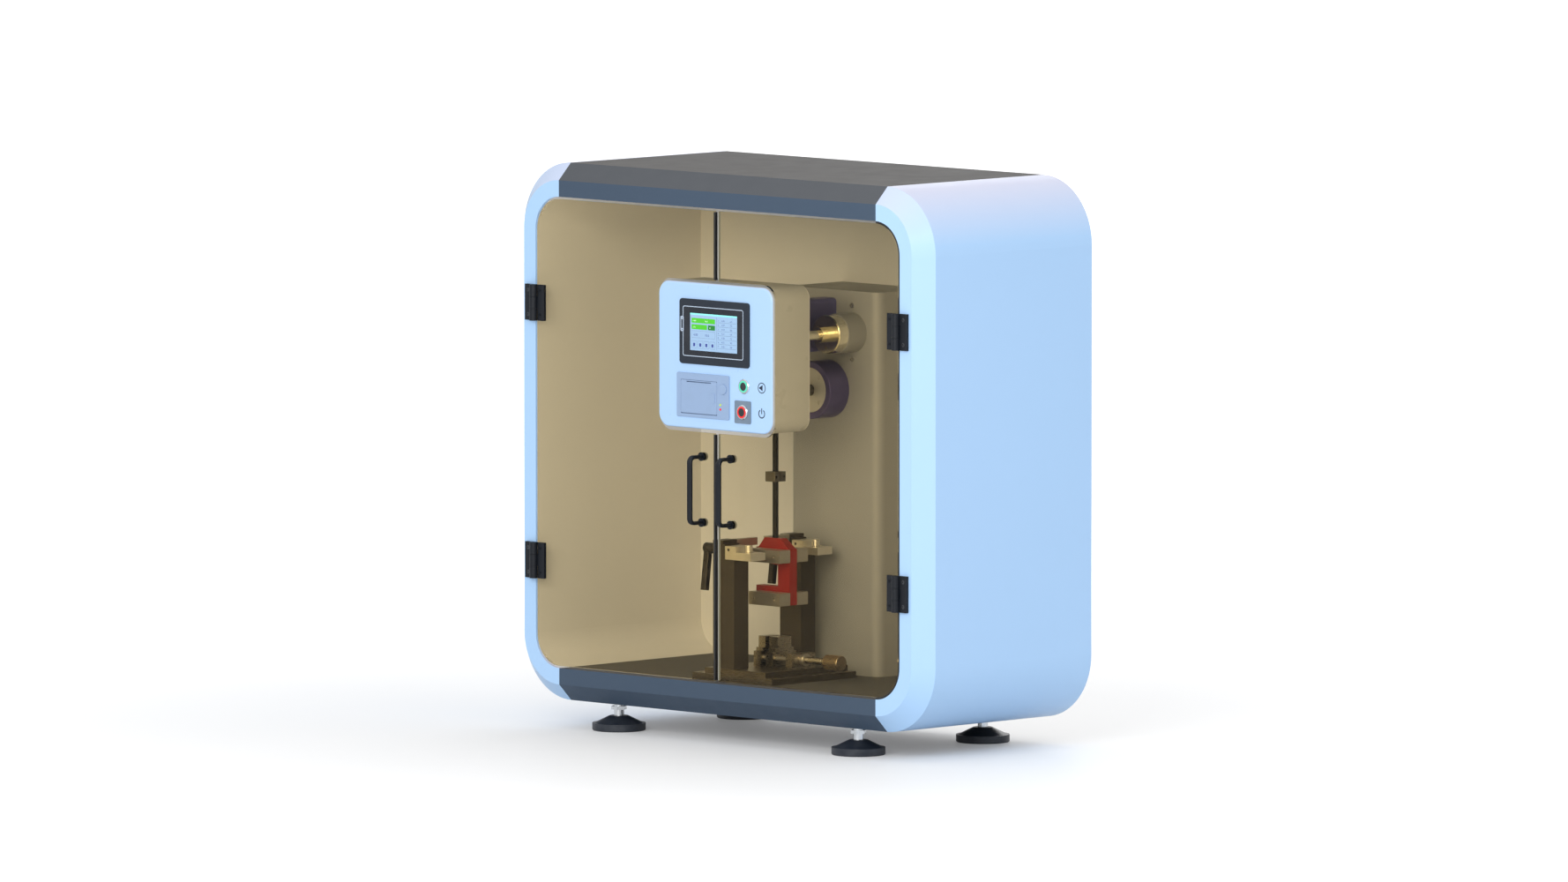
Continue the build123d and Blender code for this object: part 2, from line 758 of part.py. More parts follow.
def rod_clamp():
    z1 = axis_z - 135.5
    z0 = z1 - 17
    body = block(-12, 12, swing_y - 13.6, swing_y + 13.6, z0, z1)
    body = fillet(body.edges().filter_by(Axis.Z), 1.5)
    body = body - rod_z(0, swing_y, rod_r, z0 - 1, z1 + 1)
    body = body - block(0, 13, swing_y - 0.8, swing_y + 0.8, z0 - 1, z1 + 1)
    for y in (swing_y - 9.5, swing_y + 9.5):
        body = body - rod_x(y, (z0 + z1) / 2, 2.6, 7, 13)
    return body


def hammer_plate():
    y0 = swing_y - hammer_plate_t / 2
    y1 = swing_y + hammer_plate_t / 2
    outline = Polyline((hammer_left, -hammer_top), (hammer_right, -hammer_top),
                       (hammer_right, -hammer_bottom), (hammer_left, -hammer_bottom),
                       (hammer_left, -hammer_lip), (hammer_throat, -hammer_lip),
                       (hammer_throat, -throat_top), (hammer_left, -throat_mouth), close=True)
    face = make_face(outline)
    plate = slab(Pos(0, axis_z) * face, y0, y1)
    hub_top = axis_z - hammer_top + hammer_hub_h
    base = Plane(origin=(4, swing_y, axis_z - hammer_top))
    base = base * Rectangle(hammer_right - hammer_left - 8, hammer_plate_t)
    top = Plane(origin=(0, swing_y, hub_top)) * Rectangle(38, 15)
    plate = plate + loft([base, top])
    plate = plate - rod_z(0, swing_y, rod_r, axis_z - rod_end, hub_top + 10)
    for z in cheek_levels():
        for x in (-18, 30):
            plate = plate - rod_y(x, axis_z - z, 4, y0 - 1, y1 + 1)
    return plate


cheek_upper = 268.0
cheek_lower = 342.0
cheek_h = 22.5


def cheek_levels():
    return (cheek_upper + cheek_h / 2, cheek_lower + cheek_h / 2)


def hammer_cheeks():
    cheeks = []
    for top in (cheek_upper, cheek_lower):
        for side in (-1, 1):
            inner = swing_y + side * hammer_plate_t / 2
            outer = inner + side * cheek_t
            cheek = block(-31, 44.6, min(inner, outer), max(inner, outer),
                          axis_z - top - cheek_h, axis_z - top)
            cheek = chamfer(cheek.edges().filter_by(Axis.Y), 0.8)
            for x in (-18, 30):
                z = axis_z - top - cheek_h / 2
                cheek = cheek - rod_y(x, z, 4, min(inner, outer) - 1, max(inner, outer) + 1)
            cheeks.append(cheek)
    return group(*cheeks)


def cheek_bolts():
    bolts = []
    half = hammer_plate_t / 2 + cheek_t
    for z in cheek_levels():
        for x in (-18, 30):
            bolt = rod_y(x, axis_z - z, 3.95, swing_y - half, swing_y + half)
            for side in (-1, 1):
                y = swing_y + side * half
                socket = Pos(x, axis_z - z) * RegularPolygon(2.6, 6)
                bolt = bolt - slab(socket, min(y, y - side * 3), max(y, y - side * 3))
            bolts.append(bolt)
    return group(*bolts)


def striker():
    tip = hammer_throat - striker_reach
    nose = Polyline((hammer_throat, striker_w / 2), (tip, striker_nose / 2), (tip, -striker_nose / 2),
                    (hammer_throat, -striker_w / 2), close=True)
    face = Plane(origin=(0, swing_y, axis_z - hammer_lip + 2)) * make_face(nose)
    return extrude(face, hammer_lip - throat_top - 4)


# specimen station on two plates
def lower_plate():
    z1 = foot_h + lower_plate_top
    plate = block(-99, 95, front_y + 41.8, front_y + 246.8, open_low, z1)
    plate = chamfer(plate.edges().group_by(Axis.Z)[-1], 0.8)
    for x, y in plate_screw_spots():
        plate = plate - rod_z(x, y, 6.5, z1 - 7, z1 + 1)
    return plate


def plate_screw_spots():
    return [(x, front_y + off) for x in (-86, 86) for off in (58, 231)]


def upper_plate():
    z1 = foot_h + upper_plate_top
    plate = block(-71, 76.5, front_y + 44.8, front_y + 244.8, foot_h + lower_plate_top, z1)
    return chamfer(plate.edges().group_by(Axis.Z)[-1], 0.8)


def column_y(side):
    return swing_y + side * column_pitch / 2


def column(side):
    y0 = column_y(side) - column_depth / 2
    y1 = y0 + column_depth
    z0 = foot_h + upper_plate_top
    body = block(column_left, column_right, y0, y1, z0, foot_h + shoulder_z)
    body = body + block(column_left, column_step_x, y0, y1, foot_h + shoulder_z - 1, foot_h + column_step_z)
    body = body + block(column_left, column_tip_x, y0, y1, foot_h + column_step_z - 1, foot_h + column_top_z)
    body = chamfer(body.edges().group_by(Axis.Z)[-1], 0.6)
    return body + rod_x(column_y(side), foot_h + lever_z, lever_stud_r, column_left - 19, column_left + 1)


def support_arm(side):
    y0 = column_y(side) - column_depth / 2
    y1 = y0 + column_depth
    z0 = foot_h + shoulder_z
    arm = block(column_step_x, 39, y0, y1, z0, foot_h + 280.8)
    arm = arm + block(column_step_x, 2.1, y0, y1, foot_h + 280, foot_h + 290.7)
    arm = chamfer(arm.edges().filter_by(Axis.Y), 0.5)
    arm = arm - rod_y(-15.5, foot_h + 284.4, 2.6, y0 - 1, y1 + 1)
    return arm - rod_z(16.4, column_y(side), 3.0, foot_h + 272, foot_h + 290)


def locating_screw(side):
    z0 = foot_h + 280.8
    y = column_y(side)
    head = rod_z(16.4, y, 6.7, z0, z0 + 12.5)
    head = fillet(head.edges().filter_by(GeomType.CIRCLE), 1.2)
    shank = rod_z(16.4, y, 2.95, z0 - 8, z0 + 2)
    slot = block(9, 24, y - 0.8, y + 0.8, z0 + 11, z0 + 14)
    return head + shank - slot


def anvil(side):
    inner = column_y(side) - side * column_depth / 2
    tip = swing_y + side * 13
    z0 = foot_h + 287.0
    z1 = foot_h + column_top_z
    bar = block(-42, column_tip_x, min(inner, tip), max(inner, tip), z0, z1)
    edge = bar.edges().filter_by(Axis.Z).sort_by(Axis.X)[-2:]
    near = edge.sort_by(Axis.Y)[0 if side > 0 else -1]
    return fillet(near, 2)


def clamp_lever(side):
    y = column_y(side)
    z = foot_h + lever_z
    boss = rod_x(y, z, lever_boss_r, column_left - lever_boss_len, column_left - 0.3)
    boss = fillet(boss.edges().sort_by(Axis.X)[0], 2)
    lean = 7.0
    bar = block(-88, -76, -5.5, 5.5, -lever_reach, 0)
    bar = chamfer(bar.edges().filter_by(Axis.Z), 1.2)
    bar = Pos(0, y, z) * Rot(-lean, 0, 0) * bar
    return boss + bar - rod_x(y, z, lever_stud_r + 0.05, column_left - 20, column_left)


# vise: fixed jaw, sliding jaw, end plate, guide rods and lead screw
def jaw_block(x0, x1, lip, lift):
    z0 = foot_h + upper_plate_top + lift
    half = vise_width / 2
    body = block(x0, x1, swing_y - half, swing_y + half, z0, foot_h + vise_top_z)
    body = body + block(x0, x1, swing_y - 22.5, swing_y + 22.5, foot_h + vise_top_z - 1, foot_h + 111)
    a = min(x0, x0 + lip)
    b = max(x1, x1 + lip)
    body = body + block(a if lip < 0 else x0, b if lip > 0 else x1, swing_y - 16.5, swing_y + 16.5,
                        foot_h + 110, foot_h + jaw_top_z)
    return body


guide_z = 94.0
guide_pitch = 19.0
guide_r = 4.0


def fixed_jaw():
    body = jaw_block(-24.5, -7.5, 0, 0)
    for s in (-1, 1):
        body = body - rod_x(swing_y + s * guide_pitch, foot_h + guide_z, guide_r, -25, -7)
    return body


def moving_jaw():
    body = jaw_block(5, 22, -3.5, 0.3)
    for s in (-1, 1):
        body = body - rod_x(swing_y + s * guide_pitch, foot_h + guide_z, guide_r + 0.05, 1, 23)
    return body - rod_x(swing_y, foot_h + screw_z, screw_r + screw_play, screw_tip_x - 0.2, 23)


def end_plate():
    half = vise_width / 2
    plate = block(53.6, 68.4, swing_y - half, swing_y + half, foot_h + upper_plate_top, foot_h + vise_top_z)
    plate = chamfer(plate.edges().filter_by(Axis.X), 0.8)
    for s in (-1, 1):
        plate = plate - rod_x(swing_y + s * guide_pitch, foot_h + guide_z, guide_r, 53, 69)
    return plate - rod_x(swing_y, foot_h + screw_z, screw_r + screw_play, 53, 69)


def guide_rods():
    rods = []
    for s in (-1, 1):
        rods.append(rod_x(swing_y + s * guide_pitch, foot_h + guide_z, guide_r, -24.5, 68.4))
    collar = rod_x(swing_y, foot_h + screw_z, 11, 68.4, 76)
    collar = chamfer(collar.edges().sort_by(Axis.X)[-1], 1)
    rods.append(collar - rod_x(swing_y, foot_h + screw_z, screw_r + screw_play, 68, 77))
    return group(*rods)


def lead_screw():
    screw = rod_x(swing_y, foot_h + screw_z, screw_r, screw_tip_x, knob_left + 12)
    return chamfer(screw.edges().sort_by(Axis.X)[0], 1)


def vise_knob():
    knob = rod_x(swing_y, foot_h + screw_z, knob_r, knob_left, knob_right)
    knob = chamfer(knob.edges().filter_by(GeomType.CIRCLE), 1.2)
    cut = None
    for k in range(28):
        a = math.radians(k * 360 / 28)
        y = swing_y + (knob_r + 0.35) * math.cos(a)
        z = foot_h + screw_z + (knob_r + 0.35) * math.sin(a)
        groove = rod_x(y, z, 0.9, knob_left + 2.5, knob_right - 2.5)
        cut = groove if cut is None else cut + groove
    knob = knob - cut
    return knob - rod_x(swing_y, foot_h + screw_z, screw_r, knob_left - 1, knob_left + 12)


ring = cabinet_ring()
left, right = side_shells(ring)
save("left_shell", left)
save("right_shell", right)
save("top_bridge", top_bridge(ring))
save("bottom_bridge", bottom_bridge(ring))
save("back_panel", back_panel())
save("power_inlet", power_inlet())
save("foot_pads", foot_pads())
save("foot_studs", foot_studs())
save("hinge_cabinet_leaves", hinge_cabinet_leaves())
save("cabinet_screws", cabinet_screws())
save("left_pane", door_pane(-1))
save("right_pane", door_pane(1))
save("left_handle", door_handle(-1))
save("right_handle", door_handle(1))
save("left_door_leaves", door_leaves(-1))
save("right_door_leaves", door_leaves(1))
save("control_box", control_box())
save("control_cover", control_cover())
save("control_arm", control_arm())
save("hmi_bezel", hmi_bezel())
save("hmi_screen", hmi_screen())
save("printer_frame", printer_frame())
save("paper_door", paper_door())
save("paper_roll", paper_roll())
save("feed_button", feed_button())
save("status_leds", status_leds())
save("button_bezels", button_bezels())
save("start_ring", light_ring(start_x, start_z, 0))
save("power_ring", light_ring(power_x, power_z, power_plate_t))
save("start_button", button_cap(start_x, start_z, 0))
save("power_button", button_cap(power_x, power_z, power_plate_t))
save("power_plate", power_plate())
save("pillar_housing", pillar_housing())
save("bearing_housing", bearing_housing())
save("bearing_cover", bearing_cover())
save("catch_hub", catch_hub())
save("release_plunger", release_plunger())
save("pivot_shaft", pivot_shaft())
save("pendulum_rod", pendulum_rod())
save("rod_clamp", rod_clamp())
save("hammer_plate", hammer_plate())
save("hammer_cheeks", hammer_cheeks())
save("cheek_bolts", cheek_bolts())
save("striker", striker())
save("lower_plate", lower_plate())
save("upper_plate", upper_plate())
save("front_column", column(-1))
save("rear_column", column(1))
save("support_arms", group(support_arm(-1), support_arm(1)))
save("locating_screws", group(locating_screw(-1), locating_screw(1)))
save("anvils", group(anvil(-1), anvil(1)))
save("front_clamp_lever", clamp_lever(-1))
save("rear_clamp_lever", clamp_lever(1))
save("fixed_jaw", fixed_jaw())
save("moving_jaw", moving_jaw())
save("end_plate", end_plate())
save("guide_rods", guide_rods())
save("lead_screw", lead_screw())
save("vise_knob", vise_knob())
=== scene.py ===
import math

import bpy
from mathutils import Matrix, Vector


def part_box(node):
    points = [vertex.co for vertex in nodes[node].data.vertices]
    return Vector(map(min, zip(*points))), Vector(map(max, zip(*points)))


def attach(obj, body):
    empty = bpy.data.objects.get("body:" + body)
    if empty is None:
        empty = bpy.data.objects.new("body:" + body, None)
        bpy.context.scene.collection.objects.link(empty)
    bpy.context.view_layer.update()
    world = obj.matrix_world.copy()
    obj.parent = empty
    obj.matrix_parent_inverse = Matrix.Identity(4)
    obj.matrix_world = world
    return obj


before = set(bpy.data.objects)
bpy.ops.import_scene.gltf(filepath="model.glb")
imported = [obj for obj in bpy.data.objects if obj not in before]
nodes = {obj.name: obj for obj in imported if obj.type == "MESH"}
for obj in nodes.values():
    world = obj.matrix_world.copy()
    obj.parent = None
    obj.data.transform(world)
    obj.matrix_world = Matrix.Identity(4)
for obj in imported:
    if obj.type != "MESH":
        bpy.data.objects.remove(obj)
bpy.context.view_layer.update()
MM = 0.001


# Studio: a plain pale floor, a pale sky and four soft lamps. The camera stands at the
# photograph's angle, far back with a long lens, and looks at the middle of the cabinet.
# The sky lights the cabinet softly, and looks white where it is seen or mirrored.
view_target = Vector((-0.041, 0.0171, 0.5076))
view_back = Vector((0.70388, -0.70487, 0.08783))
view_distance = 36.057
camera_data = bpy.data.cameras.new("camera")
camera_data.sensor_width = 36
camera_data.lens = 480.1
camera_data.clip_end = 200
camera = bpy.data.objects.new("camera", camera_data)
camera.location = view_target + view_back * view_distance
camera.rotation_euler = (-view_back).to_track_quat("-Z", "Y").to_euler()
bpy.context.scene.collection.objects.link(camera)
bpy.context.scene.camera = camera
bpy.context.scene.view_settings.view_transform = "Standard"

world = bpy.data.worlds.new("studio")
bpy.context.scene.world = world
world.use_nodes = True
world_nodes = world.node_tree.nodes
world_links = world.node_tree.links
sky = world_nodes["Background"]
sky.inputs["Color"].default_value = (0.97, 0.985, 1.0, 1)
sky.inputs["Strength"].default_value = 0.70
seen_sky = world_nodes.new("ShaderNodeBackground")
seen_sky.inputs["Color"].default_value = (1, 1, 1, 1)
seen_sky.inputs["Strength"].default_value = 1.0
rays = world_nodes.new("ShaderNodeLightPath")
any_view = world_nodes.new("ShaderNodeMath")
any_view.operation = "MAXIMUM"
world_links.new(rays.outputs["Is Camera Ray"], any_view.inputs[0])
world_links.new(rays.outputs["Is Glossy Ray"], any_view.inputs[1])
any_clear = world_nodes.new("ShaderNodeMath")
any_clear.operation = "MAXIMUM"
world_links.new(any_view.outputs[0], any_clear.inputs[0])
world_links.new(rays.outputs["Is Transmission Ray"], any_clear.inputs[1])
sky_mix = world_nodes.new("ShaderNodeMixShader")
world_links.new(any_clear.outputs[0], sky_mix.inputs[0])
world_links.new(sky.outputs[0], sky_mix.inputs[1])
world_links.new(seen_sky.outputs[0], sky_mix.inputs[2])
world_links.new(sky_mix.outputs[0], world_nodes["World Output"].inputs["Surface"])


def add_lamp(name, place, aim, size, watts, tint):
    lamp_data = bpy.data.lights.new(name, "AREA")
    lamp_data.shape = "RECTANGLE"
    lamp_data.size, lamp_data.size_y = size
    lamp_data.energy = watts
    lamp_data.color = tint
    lamp = bpy.data.objects.new(name, lamp_data)
    lamp.location = place
    lamp.rotation_euler = (Vector(aim) - Vector(place)).to_track_quat("-Z", "Y").to_euler()
    bpy.context.scene.collection.objects.link(lamp)


add_lamp("front_lamp", (1.7, -3.4, 1.7), (0, 0, 0.45), (2.4, 1.8), 80, (1, 0.985, 0.96))
add_lamp("side_lamp", (3.6, 0.4, 1.5), (0, 0, 0.5), (2.4, 2.0), 9, (0.97, 0.99, 1))
add_lamp("rear_lamp", (-1.6, 3.4, 1.9), (0, 0, 0.5), (2.4, 2.0), 24, (1, 1, 1))
add_lamp("top_lamp", (0.3, 0.3, 3.4), (0, 0, 0.5), (2.4, 2.4), 14, (1, 1, 1))

floor_size = 90
shadow_reach, white_reach = 0.7, 3.2
shadow_lift, white_lift = 0.16, 0.62
bpy.ops.object.select_all(action="DESELECT")
bpy.ops.mesh.primitive_plane_add(size=floor_size, location=(0, 0, 0))
floor = bpy.context.object
floor.name = "floor"
floor_paint = bpy.data.materials.new("floor_paint")
floor_paint.use_nodes = True
floor_nodes = floor_paint.node_tree.nodes
floor_links = floor_paint.node_tree.links
floor_shader = floor_nodes["Principled BSDF"]
floor_shader.inputs["Base Color"].default_value = (0.80, 0.80, 0.805, 1)
floor_shader.inputs["Roughness"].default_value = 0.55
floor_shader.inputs["Specular IOR Level"].default_value = 0.1
floor_rays = floor_nodes.new("ShaderNodeLightPath")
floor_place = floor_nodes.new("ShaderNodeTexCoord")
floor_reach = floor_nodes.new("ShaderNodeVectorMath")
floor_reach.operation = "LENGTH"
floor_fade = floor_nodes.new("ShaderNodeMapRange")
floor_fade.interpolation_type = "SMOOTHSTEP"
for socket, value in (("From Min", shadow_reach), ("From Max", white_reach),
                      ("To Min", shadow_lift), ("To Max", white_lift)):
    floor_fade.inputs[socket].default_value = value
floor_lift = floor_nodes.new("ShaderNodeMath")
floor_lift.operation = "MULTIPLY"
floor_links.new(floor_place.outputs["Object"], floor_reach.inputs[0])
floor_links.new(floor_reach.outputs["Value"], floor_fade.inputs["Value"])
floor_links.new(floor_fade.outputs["Result"], floor_lift.inputs[1])
floor_links.new(floor_rays.outputs["Is Camera Ray"], floor_lift.inputs[0])
floor_shader.inputs["Emission Color"].default_value = (1, 1, 1, 1)
floor_links.new(floor_lift.outputs[0], floor_shader.inputs["Emission Strength"])
floor.data.materials.append(floor_paint)


# Cabinet mouldings: two pale side shells and two slate bridges between them, folded and
# welded from sheet, ground flush and powder coated; the inside is sprayed warm white.
def new_group(name, in_sockets, out_sockets):
    group = bpy.data.node_groups.new(name, "ShaderNodeTree")
    for socket, kind, value in in_sockets:
        made = group.interface.new_socket(name=socket, in_out="INPUT", socket_type=kind)
        made.default_value = value
    for socket, kind in out_sockets:
        group.interface.new_socket(name=socket, in_out="OUTPUT", socket_type=kind)
    return group, group.nodes.new("NodeGroupInput"), group.nodes.new("NodeGroupOutput")


def group_noise(group, vector, scale, detail):
    noise = group.nodes.new("ShaderNodeTexNoise")
    noise.inputs["Scale"].default_value = scale
    noise.inputs["Detail"].default_value = detail
    group.links.new(vector, noise.inputs["Vector"])
    return noise.outputs["Fac"]


def group_range(group, value, low, high, from_low=0.3, from_high=0.7):
    spread = group.nodes.new("ShaderNodeMapRange")
    spread.inputs["From Min"].default_value = from_low
    spread.inputs["From Max"].default_value = from_high
    for socket, limit in (("To Min", low), ("To Max", high)):
        if isinstance(limit, float):
            spread.inputs[socket].default_value = limit
        else:
            group.links.new(limit, spread.inputs[socket])
    group.links.new(value, spread.inputs["Value"])
    return spread.outputs["Result"]


def group_math(group, operation, a, b):
    node = group.nodes.new("ShaderNodeMath")
    node.operation = operation
    for socket, value in zip(node.inputs, (a, b)):
        if isinstance(value, (int, float)):
            socket.default_value = value
        else:
            group.links.new(value, socket)
    return node.outputs[0]


def group_mix(group, fac, a, b):
    node = group.nodes.new("ShaderNodeMix")
    node.data_type = "RGBA"
    group.links.new(fac, node.inputs["Factor"])
    for socket, value in ((node.inputs["A"], a), (node.inputs["B"], b)):
        if isinstance(value, tuple):
            socket.default_value = value
        else:
            group.links.new(value, socket)
    return node.outputs["Result"]


COLOUR_SOCKETS = (("Colour", "NodeSocketColor"), ("Roughness", "NodeSocketFloat"),
                  ("Height", "NodeSocketFloat"))


def powder_coat_group():
    cloud_scale, grime_scale = 3.0, 26.0
    cloud_share, grime_share, top_lit_gloss = 0.35, 0.25, 0.25
    group, into, out = new_group(
        "powder_coat",
        (("Colour", "NodeSocketColor", (0.5, 0.5, 0.5, 1)),
         ("Shade", "NodeSocketColor", (0.4, 0.4, 0.4, 1)),
         ("Top light", "NodeSocketColor", (0.4, 0.4, 0.4, 1)), ("Top light amount", "NodeSocketFloat", 0.0),
         ("Gloss", "NodeSocketFloat", 0.35), ("Peel", "NodeSocketFloat", 700.0)),
        COLOUR_SOCKETS)
    place = group.nodes.new("ShaderNodeTexCoord").outputs["Object"]
    cloud = group_noise(group, place, cloud_scale, 3.0)
    grime = group_noise(group, place, grime_scale, 5.0)
    peel = group.nodes.new("ShaderNodeTexNoise")
    peel.inputs["Detail"].default_value = 1.0
    group.links.new(place, peel.inputs["Vector"])
    group.links.new(into.outputs["Peel"], peel.inputs["Scale"])
    patch = group_math(group, "MULTIPLY", group_range(group, cloud, 0.0, 1.0), cloud_share)
    film = group_math(group, "MULTIPLY", group_range(group, grime, 0.0, 1.0, 0.55, 0.8), grime_share)
    amount = group_math(group, "ADD", patch, film)
    colour = group_mix(group, amount, into.outputs["Colour"], into.outputs["Shade"])
    # Faces that point up are mixed towards the Top light colour. This is painted warm light from above, not
    # a coat of their own, and these faces are also made a little rougher.
    facing = group.nodes.new("ShaderNodeSeparateXYZ")
    group.links.new(group.nodes.new("ShaderNodeNewGeometry").outputs["Normal"], facing.inputs[0])
    upward = group_range(group, facing.outputs["Z"], 0.0, 1.0, 0.15, 0.95)
    top_lit = group_math(group, "MULTIPLY", upward, into.outputs["Top light amount"])
    colour = group_mix(group, top_lit, colour, into.outputs["Top light"])
    gloss = group_math(group, "ADD", into.outputs["Gloss"], group_range(group, grime, -0.03, 0.07))
    gloss = group_math(group, "ADD", gloss, group_math(group, "MULTIPLY", top_lit, top_lit_gloss))
    group.links.new(colour, out.inputs["Colour"])
    group.links.new(gloss, out.inputs["Roughness"])
    group.links.new(peel.outputs["Fac"], out.inputs["Height"])
    return group


powder_coat = powder_coat_group()


ripple_depth = 0.1 * MM
coat_roughness = 0.08


def finish_material(name, group, values, metallic=0.0, bump=0.1, coat=0.0, shine=0.5):
    made = bpy.data.materials.new(name)
    made.use_nodes = True
    tree = made.node_tree
    shader = tree.nodes["Principled BSDF"]
    shader.inputs["Metallic"].default_value = metallic
    shader.inputs["Coat Weight"].default_value = coat
    shader.inputs["Coat Roughness"].default_value = coat_roughness
    shader.inputs["Specular IOR Level"].default_value = shine
    texture = tree.nodes.new("ShaderNodeGroup")
    texture.node_tree = group
    texture.name = "texture"
    for socket, value in values.items():
        texture.inputs[socket].default_value = value
    ripple = tree.nodes.new("ShaderNodeBump")
    ripple.inputs["Strength"].default_value = bump
    ripple.inputs["Distance"].default_value = ripple_depth
    tree.links.new(texture.outputs["Colour"], shader.inputs["Base Color"])
    tree.links.new(texture.outputs["Roughness"], shader.inputs["Roughness"])
    tree.links.new(texture.outputs["Height"], ripple.inputs["Height"])
    tree.links.new(ripple.outputs["Normal"], shader.inputs["Normal"])
    return made


def dress(finish, *names):
    for name in names:
        nodes[name].data.materials.clear()
        nodes[name].data.materials.append(finish)


def recolour_where(finish, colour, tests, sockets=("Base Color",)):
    tree = finish.node_tree
    place = tree.nodes.new("ShaderNodeTexCoord")
    split = tree.nodes.new("ShaderNodeSeparateXYZ")
    tree.links.new(place.outputs["Object"], split.inputs[0])
    inside = None
    for axis, comparison, limit in tests:
        test = tree.nodes.new("ShaderNodeMath")
        test.operation = comparison
        test.inputs[1].default_value = limit
        tree.links.new(split.outputs[axis], test.inputs[0])
        if inside is None:
            inside = test.outputs[0]
            continue
        both = tree.nodes.new("ShaderNodeMath")
        both.operation = "MULTIPLY"
        tree.links.new(inside, both.inputs[0])
        tree.links.new(test.outputs[0], both.inputs[1])
        inside = both.outputs[0]
    change = tree.nodes.new("ShaderNodeMix")
    change.data_type = "RGBA"
    change.inputs["B"].default_value = colour
    tree.links.new(inside, change.inputs["Factor"])
    tree.links.new(tree.nodes["texture"].outputs["Colour"], change.inputs["A"])
    for socket in sockets:
        tree.links.new(change.outputs["Result"], tree.nodes["Principled BSDF"].inputs[socket])


door_gap = 4 * MM
opening_half = door_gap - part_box("left_pane")[0].x
opening_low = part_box("bottom_bridge")[1].z
opening_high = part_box("top_bridge")[0].z
liner_edge = 0.4 * MM
liner_white = (0.80, 0.775, 0.735, 1)
# The Top light colours in these coats are painted light from above, on faces that point up.
pale_coat = finish_material("pale_coat", powder_coat,
                            {"Colour": (0.425, 0.65, 0.95, 1), "Shade": (0.405, 0.625, 0.91, 1),
                             "Top light": (0.66, 0.66, 0.80, 1), "Top light amount": 0.9,
                             "Gloss": 0.33, "Peel": 650.0}, bump=0.12, coat=0.1)
recolour_where(pale_coat, liner_white, (("X", "LESS_THAN", opening_half + liner_edge),
                                        ("X", "GREATER_THAN", -opening_half - liner_edge),
                                        ("Y", "GREATER_THAN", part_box("left_pane")[1].y),
                                        ("Z", "GREATER_THAN", opening_low - liner_edge),
                                        ("Z", "LESS_THAN", opening_high + liner_edge)))
slate_coat = finish_material("slate_coat", powder_coat,
                             {"Colour": (0.06, 0.09, 0.136, 1), "Shade": (0.054, 0.082, 0.124, 1),
                              "Top light": (0.108, 0.105, 0.102, 1), "Top light amount": 1.0,
                              "Gloss": 0.5, "Peel": 650.0}, bump=0.14, shine=0.2)
liner_coat = finish_material("liner_coat", powder_coat,
                             {"Colour": liner_white, "Shade": (0.75, 0.73, 0.69, 1),
                              "Gloss": 0.45, "Peel": 500.0}, bump=0.12)
dress(pale_coat, "left_shell", "right_shell")
dress(slate_coat, "top_bridge", "bottom_bridge")
dress(liner_coat, "back_panel")


# Levelling feet: rubber pads, moulded round a steel disc, on chromed studs. A lock nut
# holds each stud at its height under the floor of the cabinet.
def moulded_group():
    handling_scale, gloss_spread = 40.0, 0.08
    group, into, out = new_group(
        "moulded_skin",
        (("Colour", "NodeSocketColor", (0.05, 0.05, 0.05, 1)),
         ("Dust", "NodeSocketColor", (0.2, 0.2, 0.2, 1)),
         ("Dust amount", "NodeSocketFloat", 0.1), ("Gloss", "NodeSocketFloat", 0.5),
         ("Grain", "NodeSocketFloat", 1500.0)),
        COLOUR_SOCKETS)
    place = group.nodes.new("ShaderNodeTexCoord").outputs["Object"]
    grain = group.nodes.new("ShaderNodeTexNoise")
    grain.inputs["Detail"].default_value = 2.0
    group.links.new(place, grain.inputs["Vector"])
    group.links.new(into.outputs["Grain"], grain.inputs["Scale"])
    handling = group_noise(group, place, handling_scale, 4.0)
    amount = group_math(group, "MULTIPLY", group_range(group, handling, 0.0, 1.0, 0.4, 0.75),
                        into.outputs["Dust amount"])
    colour = group_mix(group, amount, into.outputs["Colour"], into.outputs["Dust"])
    gloss = group_math(group, "ADD", into.outputs["Gloss"],
                       group_range(group, handling, -gloss_spread, gloss_spread))
    group.links.new(colour, out.inputs["Colour"])
    group.links.new(gloss, out.inputs["Roughness"])
    group.links.new(grain.outputs["Fac"], out.inputs["Height"])
    return group


def machined_group():
    blotch_scale, blotch_share, streak_share = 55.0, 0.2, 0.3
    group, into, out = new_group(
        "machined_metal",
        (("Colour", "NodeSocketColor", (0.5, 0.5, 0.5, 1)),
         ("Stain", "NodeSocketColor", (0.3, 0.3, 0.3, 1)),
         ("Gloss", "NodeSocketFloat", 0.3), ("Stretch", "NodeSocketVector", (40.0, 900.0, 900.0))),
        COLOUR_SOCKETS)
    place = group.nodes.new("ShaderNodeTexCoord").outputs["Object"]
    drawn = group.nodes.new("ShaderNodeVectorMath")
    drawn.operation = "MULTIPLY"
    group.links.new(place, drawn.inputs[0])
    group.links.new(into.outputs["Stretch"], drawn.inputs[1])
    lines = group_noise(group, drawn.outputs[0], 1.0, 3.0)
    blotch = group_noise(group, place, blotch_scale, 4.0)
    amount = group_math(group, "MULTIPLY", group_range(group, blotch, 0.0, 1.0, 0.45, 0.8), blotch_share)
    streak = group_math(group, "MULTIPLY", group_range(group, lines, 0.0, 1.0), streak_share)
    amount = group_math(group, "ADD", amount, streak)
    colour = group_mix(group, amount, into.outputs["Colour"], into.outputs["Stain"])
    gloss = group_math(group, "ADD", into.outputs["Gloss"], group_range(group, lines, -0.08, 0.1))
    group.links.new(colour, out.inputs["Colour"])
    group.links.new(gloss, out.inputs["Roughness"])
    group.links.new(lines, out.inputs["Height"])
    return group


